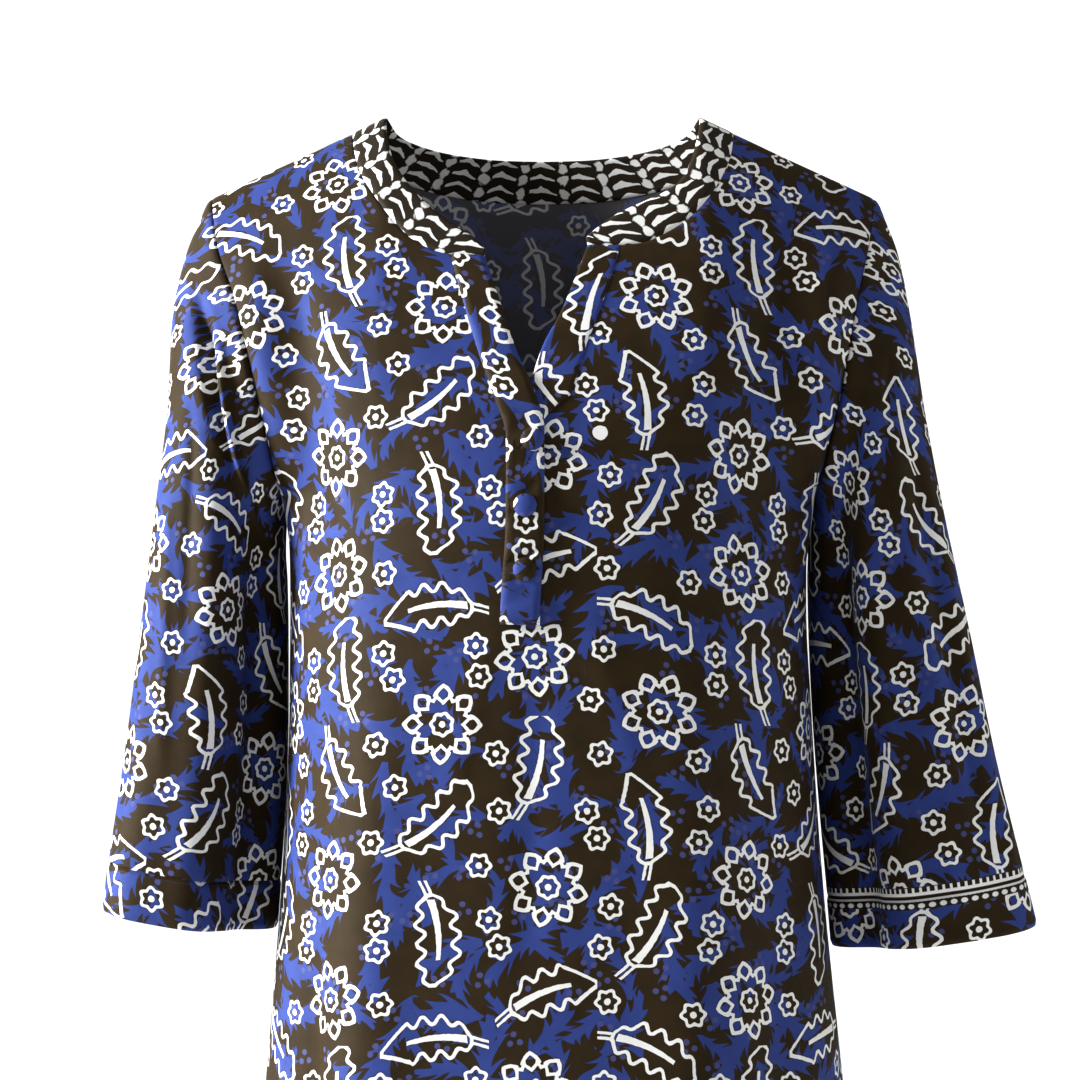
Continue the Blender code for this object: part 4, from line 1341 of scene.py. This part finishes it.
def wreath(x, y):
    """Distance to the white of a ring of rounded diamonds around a star flower."""
    place = y.atan2(x) * (WREATH_DIAMONDS / FULL_TURN)
    way_round = (place.mod(1.0) - 0.5) * (FULL_TURN * WREATH_RING / WREATH_DIAMONDS)
    out = distance(x, y) - WREATH_RING
    corners = (abs(out) / DIAMOND_HALF) ** DIAMOND_POWER + (abs(way_round) / DIAMOND_HALF) ** DIAMOND_POWER
    rounded = corners ** (1 / DIAMOND_POWER)
    diamond = abs(rounded - 1.0) * (DIAMOND_HALF * DIAMOND_STEEP) - LINE / 2
    from_link = abs(abs(way_round) - WREATH_RING * math.pi / WREATH_DIAMONDS)
    link = abs(out + LINK_DROP - from_link * LINK_SLOPE) - LINK_LINE
    return diamond.min(link.max(from_link - LINK_HALF)).min(star(x, y, *WREATH_STAR))


def leaf(x, y, bend, tipped):
    """Distance to the white of a wavy-edged leaf along X, with a midrib and a stem of two lines."""
    t = y - x * x * bend
    place = (x - LEAF_MIDDLE) / LEAF_HALF_LENGTH
    cubed = place * place * place
    body = (cubed * place * -1.0 + 1.0).max(0.0)
    phase = x * (FULL_TURN / WAVE_LENGTH) + t.sign() * WAVE_STAGGER
    on_tip = x.fade(TIP_START - TIP_BLEND, TIP_START + TIP_BLEND) * tipped
    on_body = on_tip.flipped()
    wavy = on_body * body
    half = body * LEAF_HALF_WIDTH + phase.sin() * wavy * WAVE_HEIGHT
    slope = cubed * (-4 * LEAF_HALF_WIDTH / LEAF_HALF_LENGTH)
    slope = slope + phase.cos() * wavy * (WAVE_HEIGHT * FULL_TURN / WAVE_LENGTH)
    tip = (x * -1.0 + TIP_END) * TIP_SLOPE
    half = half * on_body + tip * on_tip
    steep = (slope * slope * on_body + on_tip * (TIP_SLOPE * TIP_SLOPE) + 1.0).sqrt()
    past_end = abs(x - LEAF_MIDDLE) - LEAF_HALF_LENGTH * LEAF_CUT
    outline = abs(((abs(t) - half) / steep).max(past_end)) - LINE / 2
    rib = (abs(t) - RIB_HALF - x * -RIB_TAPER).max(abs(x + RIB_BACK) - RIB_LENGTH / 2)
    stem = (abs(abs(t) - STEM_GAP) - STEM_LINE).max(abs(x - STEM_MIDDLE) - STEM_LENGTH / 2)
    return outline.min(rib).min(stem)


def motif_index(column, number, rows):
    """Where a motif stands in its table. The columns of motifs repeat, and so do a column's rows."""
    return column.mod(float(MOTIF_COLUMNS)) * float(rows) + number.mod(float(rows))


def coded(value, reach):
    """A value between minus and plus half of reach, as a share from 0 to 1."""
    return value / reach + 0.5


def shifted(x, y, shift_x, shift_y):
    """A place seen from a motif with coded shifts."""
    return x - (shift_x - 0.5) * (SHIFT_REACH * MM), y - (shift_y - 0.5) * (SHIFT_REACH * MM)


def big_motifs(u, v):
    """Distance to the white of the wreaths and leaves, which stand in columns with a half drop."""
    column = (u / PITCH + 0.5).floor()
    height = v / PITCH + 0.5 - column.mod(2.0) * 0.5
    number = height.floor()
    index = motif_index(column, number, MOTIF_ROWS)
    kinds = [(kind / 2, angle / 360, coded(bend, BEND_REACH)) for kind, angle, _, _, bend in MOTIFS]
    shifts = [(coded(x, SHIFT_REACH), coded(y, SHIFT_REACH), 0) for _, _, x, y, _ in MOTIFS]
    kind, angle, bend = lookup(index, kinds)
    shift_x, shift_y, _ = lookup(index, shifts)
    x, y = shifted(u - column * PITCH, (height - number - 0.5) * PITCH, shift_x, shift_y)
    x, y = turned(x, y, angle * FULL_TURN)
    is_leaf, tipped = kind > LEAF / 2 - 0.25, kind > TIPPED / 2 - 0.25
    one_leaf = leaf(x, y, (bend - 0.5) * BEND, tipped) + is_leaf.flipped()
    return (wreath(x, y) + is_leaf).min(one_leaf)


def motif_reach(kind, angle, shift_x, shift_y):
    """Points that a big motif covers, in mm about its place."""
    if kind == WREATH:
        turns = np.linspace(0, FULL_TURN, 12, endpoint=False)
        spots = WREATH_ROOM * np.stack([np.cos(turns), np.sin(turns)], axis=-1)
    else:
        rooms = [(x, LEAF_ROOM if x in LEAF_BODY else STEM_ROOM) for x in LEAF_PLACES]
        spots = np.array([(x, y) for x, room in rooms for y in (-room, 0, room)]) @ turn(angle)
    return spots + (shift_x, shift_y)


def star_table():
    """For each place between the big motifs: whether a star has room there, and its shift."""
    pitch = PITCH / MM
    taken = []
    for column in range(-1, MOTIF_COLUMNS + 2):
        for number in range(-1, MOTIF_ROWS + 2):
            motif = MOTIFS[(column % MOTIF_COLUMNS) * MOTIF_ROWS + number % MOTIF_ROWS]
            place = np.array((column, number + 0.5 * (column % 2))) * pitch
            taken.append(motif_reach(*motif[:4]) + place)
    taken = np.concatenate(taken)
    shifts = np.array([(x, y) for x in STAR_SHIFTS for y in STAR_SHIFTS])
    rows = []
    for column in range(MOTIF_COLUMNS):
        for number in range(2 * MOTIF_ROWS):
            middle = np.array((column + 0.5, (number + 0.5) / 2)) * pitch
            room = size(taken - (middle + shifts)[:, None]).min(axis=1)
            best = int(np.argmax(room))
            rows.append((float(room[best] > STAR_ROOM), *coded(shifts[best], SHIFT_REACH)))
    return rows


def stars(u, v):
    """Distance to the white of the stars that fill the room between the big motifs."""
    column = (u / PITCH).floor()
    number = (v / (PITCH / 2)).floor()
    index = motif_index(column, number, 2 * MOTIF_ROWS)
    has_star, shift_x, shift_y = lookup(index, star_table())
    x, y = shifted(u - (column + 0.5) * PITCH, v - (number + 0.5) * (PITCH / 2), shift_x, shift_y)
    x, y = turned(x, y, index * STAR_TURN)
    return star(x, y, *FREE_STAR) + has_star.flipped()


def scattered(u, v, scale):
    """Places in axes of their own round points scattered at random, about scale of them to a metre."""
    inputs = {"Vector": join(u, v), "Scale": scale}
    _, colour, position, *_ = add_node("ShaderNodeTexVoronoi", inputs, voronoi_dimensions="2D")
    x, y, _ = split(position)
    chance, _, _ = split(colour)
    return turned(u - x, v - y, chance * FULL_TURN)


def sprig(x, y, half_length, half_width, tooth):
    """How far inside a leaf with thorny edges a place is. The leaf lies along X and bends."""
    t = y - x * x * (SPRIG_BEND / half_length)
    along_it = x / half_length
    body = (along_it * along_it * -1.0 + 1.0).max(0.0).sqrt()
    out = abs(t)
    thorn = ((x - out * THORN_SLANT) / tooth + t.sign() * THORN_STAGGER).fraction()
    return body * half_width * (thorn * thorn * THORN_SHARE + SPRIG_SHARE) - out


def ground(u, v):
    """1 on blue and 0 on brown: thorny leaves scattered over each other."""
    u, v = wobbled(u, v, *GROUND_WOBBLE)
    inside = None
    for scale, *measures in SPRIGS:
        one = sprig(*scattered(u, v, scale), *(measure * CM for measure in measures))
        inside = one if inside is None else inside.max(one)
    return inside.fade(-GROUND_BLUR, GROUND_BLUR)


def uneven(u, v, layer, scale, height):
    """A line's unevenness: noise with scale waves to a metre, which moves its edges by height."""
    return (noise(join(u, v, layer), scale, 1.0)[0] - 0.5) * height


def printed_colours(u, v):
    """The print of the cloth: blue and brown patches under white lines and grey dots."""
    white = big_motifs(u, v).min(stars(u, v))
    white = white.min(distance(u - DISC_PLACE[0], v - DISC_PLACE[1]) - DISC_RADIUS)
    grey = dots(*scattered(u, v, DOT_CLUSTERS))
    edge = uneven(u, v, *PRINT_EDGE)
    white = white + edge
    tone = noise(join(u, v, TONE_LAYER), TONE_SCALE, 2.0, 0.6)[0]
    brown = mix(tone, DARK_BROWN, LIGHT_BROWN)
    blue = mix(tone, DARK_BLUE, LIGHT_BLUE)
    colour = mix(ground(u, v), brown, blue)
    colour = mix((grey + edge).fade(DOT_BLUR, -DOT_BLUR) * DOT_STRENGTH, colour, GREY)
    colour = mix(white.fade(*EDGING) * EDGING_STRENGTH, colour, DARK_BROWN)
    return mix(white.fade(LINE_BLUR, -LINE_BLUR), colour, WHITE)


def neck_colours(s, w):
    """The border print of the neck band: columns of ovals, with bent dashes between them."""
    s, w = wobbled(s, w, *BORDER_WOBBLE)
    x = repeated(s / BORDER_UNIT + 0.5, BORDER_UNIT)
    oval_y = repeated((w - OVAL_START) / BORDER_ROW + 0.5, BORDER_ROW)
    ovals = oval(abs(x) * -1.0 + BORDER_UNIT / 2, oval_y, *OVAL_HALVES)
    from_bend = abs(x + DASH_BEND)
    across = repeated((w - DASH_START) / BORDER_ROW + 0.5, BORDER_ROW) + from_bend * DASH_SLOPE - DASH_DROP
    dashes = (abs(across) + from_bend * DASH_TAPER - DASH_LINE).max(abs(x) - DASH_HALF)
    white = (ovals.min(dashes) + uneven(s, w, *BORDER_EDGE)).fade(LINE_BLUR, -LINE_BLUR)
    return mix(white, BAND_BROWN, WHITE)


def bordered_colours(u, v):
    """The cloth's print under the woven edge that shows above and below one sleeve's band seam."""
    white = None
    for height, half in EDGE_LINES:
        line = abs(v - height * MM) - half * MM
        white = line if white is None else white.min(line)
    pitch, half, height, half_height = (measure * MM for measure in EDGE_TABS)
    white = white.min((abs(repeated(u / pitch, pitch)) - half).max(abs(v - height) - half_height))
    pitch, height, *halves = EDGE_PETALS
    white = white.min(oval(repeated(u / (pitch * MM), pitch * MM), v - height * MM, *halves))
    edge = mix(white.fade(LINE_BLUR, -LINE_BLUR), BAND_BROWN, WHITE)
    on_edge = (abs(v - EDGE_MIDDLE) - EDGE_HALF).fade(DOT_BLUR, -DOT_BLUR)
    return mix(on_edge, printed_colours(u, v), edge)


def weave_bump(u, v):
    """Fine threads of a plain weave, slubs and a slight unevenness, as a bump."""
    across = (u * (FULL_TURN / THREAD)).sin()
    up = (v * (FULL_TURN / THREAD)).sin()
    slubs = noise(join(u, v * SLUB_STRETCH), SLUB_SCALE, 2.0)[0]
    crumple = noise(join(u, v, CRUMPLE_LAYER), CRUMPLE_SCALE, 2.0, 0.45)[0]
    height = across * up * THREAD_HEIGHT + slubs * SLUB_HEIGHT + crumple * CRUMPLE_HEIGHT
    return add_node("ShaderNodeBump", {"Height": height, "Strength": 0.6, "Distance": 1.0})[0]


def new_material(name):
    """A material and its shader."""
    made = bpy.data.materials.new(name)
    made.use_nodes = True
    return made, made.node_tree.nodes["Principled BSDF"]


def cloth_material(name, paint, faded=0.0, roughness=0.6):
    """A cotton cloth whose colours are painted by a function of its flat coordinates."""
    made, shader = new_material(name)
    u, v, _ = split(add_node("ShaderNodeUVMap", {}, made.node_tree, uv_map="cloth")[0])
    colour = paint(u, v)
    if faded:
        colour = mix(faded, colour, FADED)
    feed(shader, {"Base Color": colour, "Normal": weave_bump(u, v), "Roughness": roughness, **COTTON})
    return made


def thread_material():
    made, shader = new_material("thread")
    place = add_node("ShaderNodeTexCoord", {}, made.node_tree)[OBJECT_PLACE]
    tone = noise(place, THREAD_SCALE, 1.0)[0]
    feed(shader, {"Base Color": mix(tone, THREAD_DARK, THREAD_LIGHT), "Roughness": 0.6})
    return made


# ---- Surroundings ----


def add_camera():
    """The camera at the photograph's place: level, in front of the chest."""
    data = bpy.data.cameras.new("camera")
    data.sensor_width = SENSOR
    data.lens = FOCAL_PIXELS / PHOTO_SIZE * SENSOR
    data.shift_x = -(AXIS_PIXEL[0] - PHOTO_SIZE / 2) / PHOTO_SIZE
    data.shift_y = (AXIS_PIXEL[1] - PHOTO_SIZE / 2) / PHOTO_SIZE
    camera = bpy.context.scene.camera = add_object("camera", data)
    camera.location = (0.0, -CAMERA_DISTANCE, CAMERA_HEIGHT)
    camera.rotation_euler = (math.pi / 2, 0.0, 0.0)


def add_light(name, place, aim, measures, power):
    data = bpy.data.lights.new(name, "AREA")
    data.shape = "RECTANGLE"
    data.size, data.size_y = measures
    data.energy = power
    lamp = add_object(name, data)
    lamp.location = place
    lamp.rotation_euler = (Vector(aim) - Vector(place)).to_track_quat("-Z", "Y").to_euler()


def add_floor():
    mesh = bpy.data.meshes.new("floor")
    turns = np.linspace(0, FULL_TURN, FLOOR_SIDES, endpoint=False)
    ring = FLOOR_RADIUS * np.cos(turns), FLOOR_RADIUS * np.sin(turns), np.full(FLOOR_SIDES, FLOOR_HEIGHT)
    mesh.from_pydata(np.stack(ring, axis=-1).tolist(), [], [list(range(FLOOR_SIDES))])
    material, shader = new_material("floor")
    feed(shader, {"Base Color": FLOOR_COLOUR, "Roughness": 0.8})
    mesh.materials.append(material)
    add_object("floor", mesh)


def add_surroundings():
    """A pale round floor below the dress, soft light from the wearer's right, and white all round."""
    add_floor()
    for light in LIGHTS:
        add_light(*light)
    scene = bpy.context.scene
    scene.world = bpy.data.worlds.new("white")
    scene.world.use_nodes = True
    tree = scene.world.node_tree
    seen = add_node("ShaderNodeLightPath", {}, tree)[0]
    strength = seen * (1.0 - AMBIENT) + AMBIENT
    feed(tree.nodes["Background"], {"Color": (1.0, 1.0, 1.0, 1.0), "Strength": strength})
    scene.view_settings.view_transform = "Standard"
    scene.view_settings.look = "Medium High Contrast"


# ---- The dress ----


def cloth_pair(name, paint):
    """The material of a cloth's right side and that of its reverse."""
    return [cloth_material(name, paint), cloth_material(f"{name}_reverse", paint, faded=REVERSE_FADE)]


def build_dress():
    """All the cloth pieces and the buttons, and then the stitching."""
    printed = cloth_pair("printed_cotton", printed_colours)
    bordered = cloth_pair("bordered_cotton", bordered_colours)
    band = cloth_material("band_cotton", neck_colours)
    covered = cloth_material("button_cotton", printed_colours, roughness=0.5)
    thread = thread_material()

    plain, cloth = torso_grids()
    build_torso(plain, cloth, printed)
    build_neck(cloth, [band, band])
    overlap = build_strips(cloth, printed)
    cuffs = {side: build_sleeve(cloth, side, bordered if side == "left" else printed) for side in SIDES}
    build_buttons(cloth, covered)

    lines = [at_distance(overlap, -SEWN_IN), at_distance(overlap, SEWN_IN, axis=0)]
    sew("placket_stitching", lines, thread)
    for face in FOLDS:
        lines = [at_distance(cloth[f"{face}_{side}"], HEM_UP, axis=0) for side in SIDES]
        sew(f"hem_stitching_{face}", lines, thread)
    for side, cuff in cuffs.items():
        sew(f"sleeve_stitching_{side}", [at_distance(cuff, CUFF_SEWN_IN, axis=0)], thread)


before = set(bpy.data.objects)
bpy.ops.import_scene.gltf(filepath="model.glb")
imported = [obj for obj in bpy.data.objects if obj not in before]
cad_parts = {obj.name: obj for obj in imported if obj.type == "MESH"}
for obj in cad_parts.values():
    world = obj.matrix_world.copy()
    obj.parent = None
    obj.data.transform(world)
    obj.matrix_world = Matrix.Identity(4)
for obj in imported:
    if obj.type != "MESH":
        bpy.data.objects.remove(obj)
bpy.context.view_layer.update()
add_camera()
add_surroundings()
build_dress()
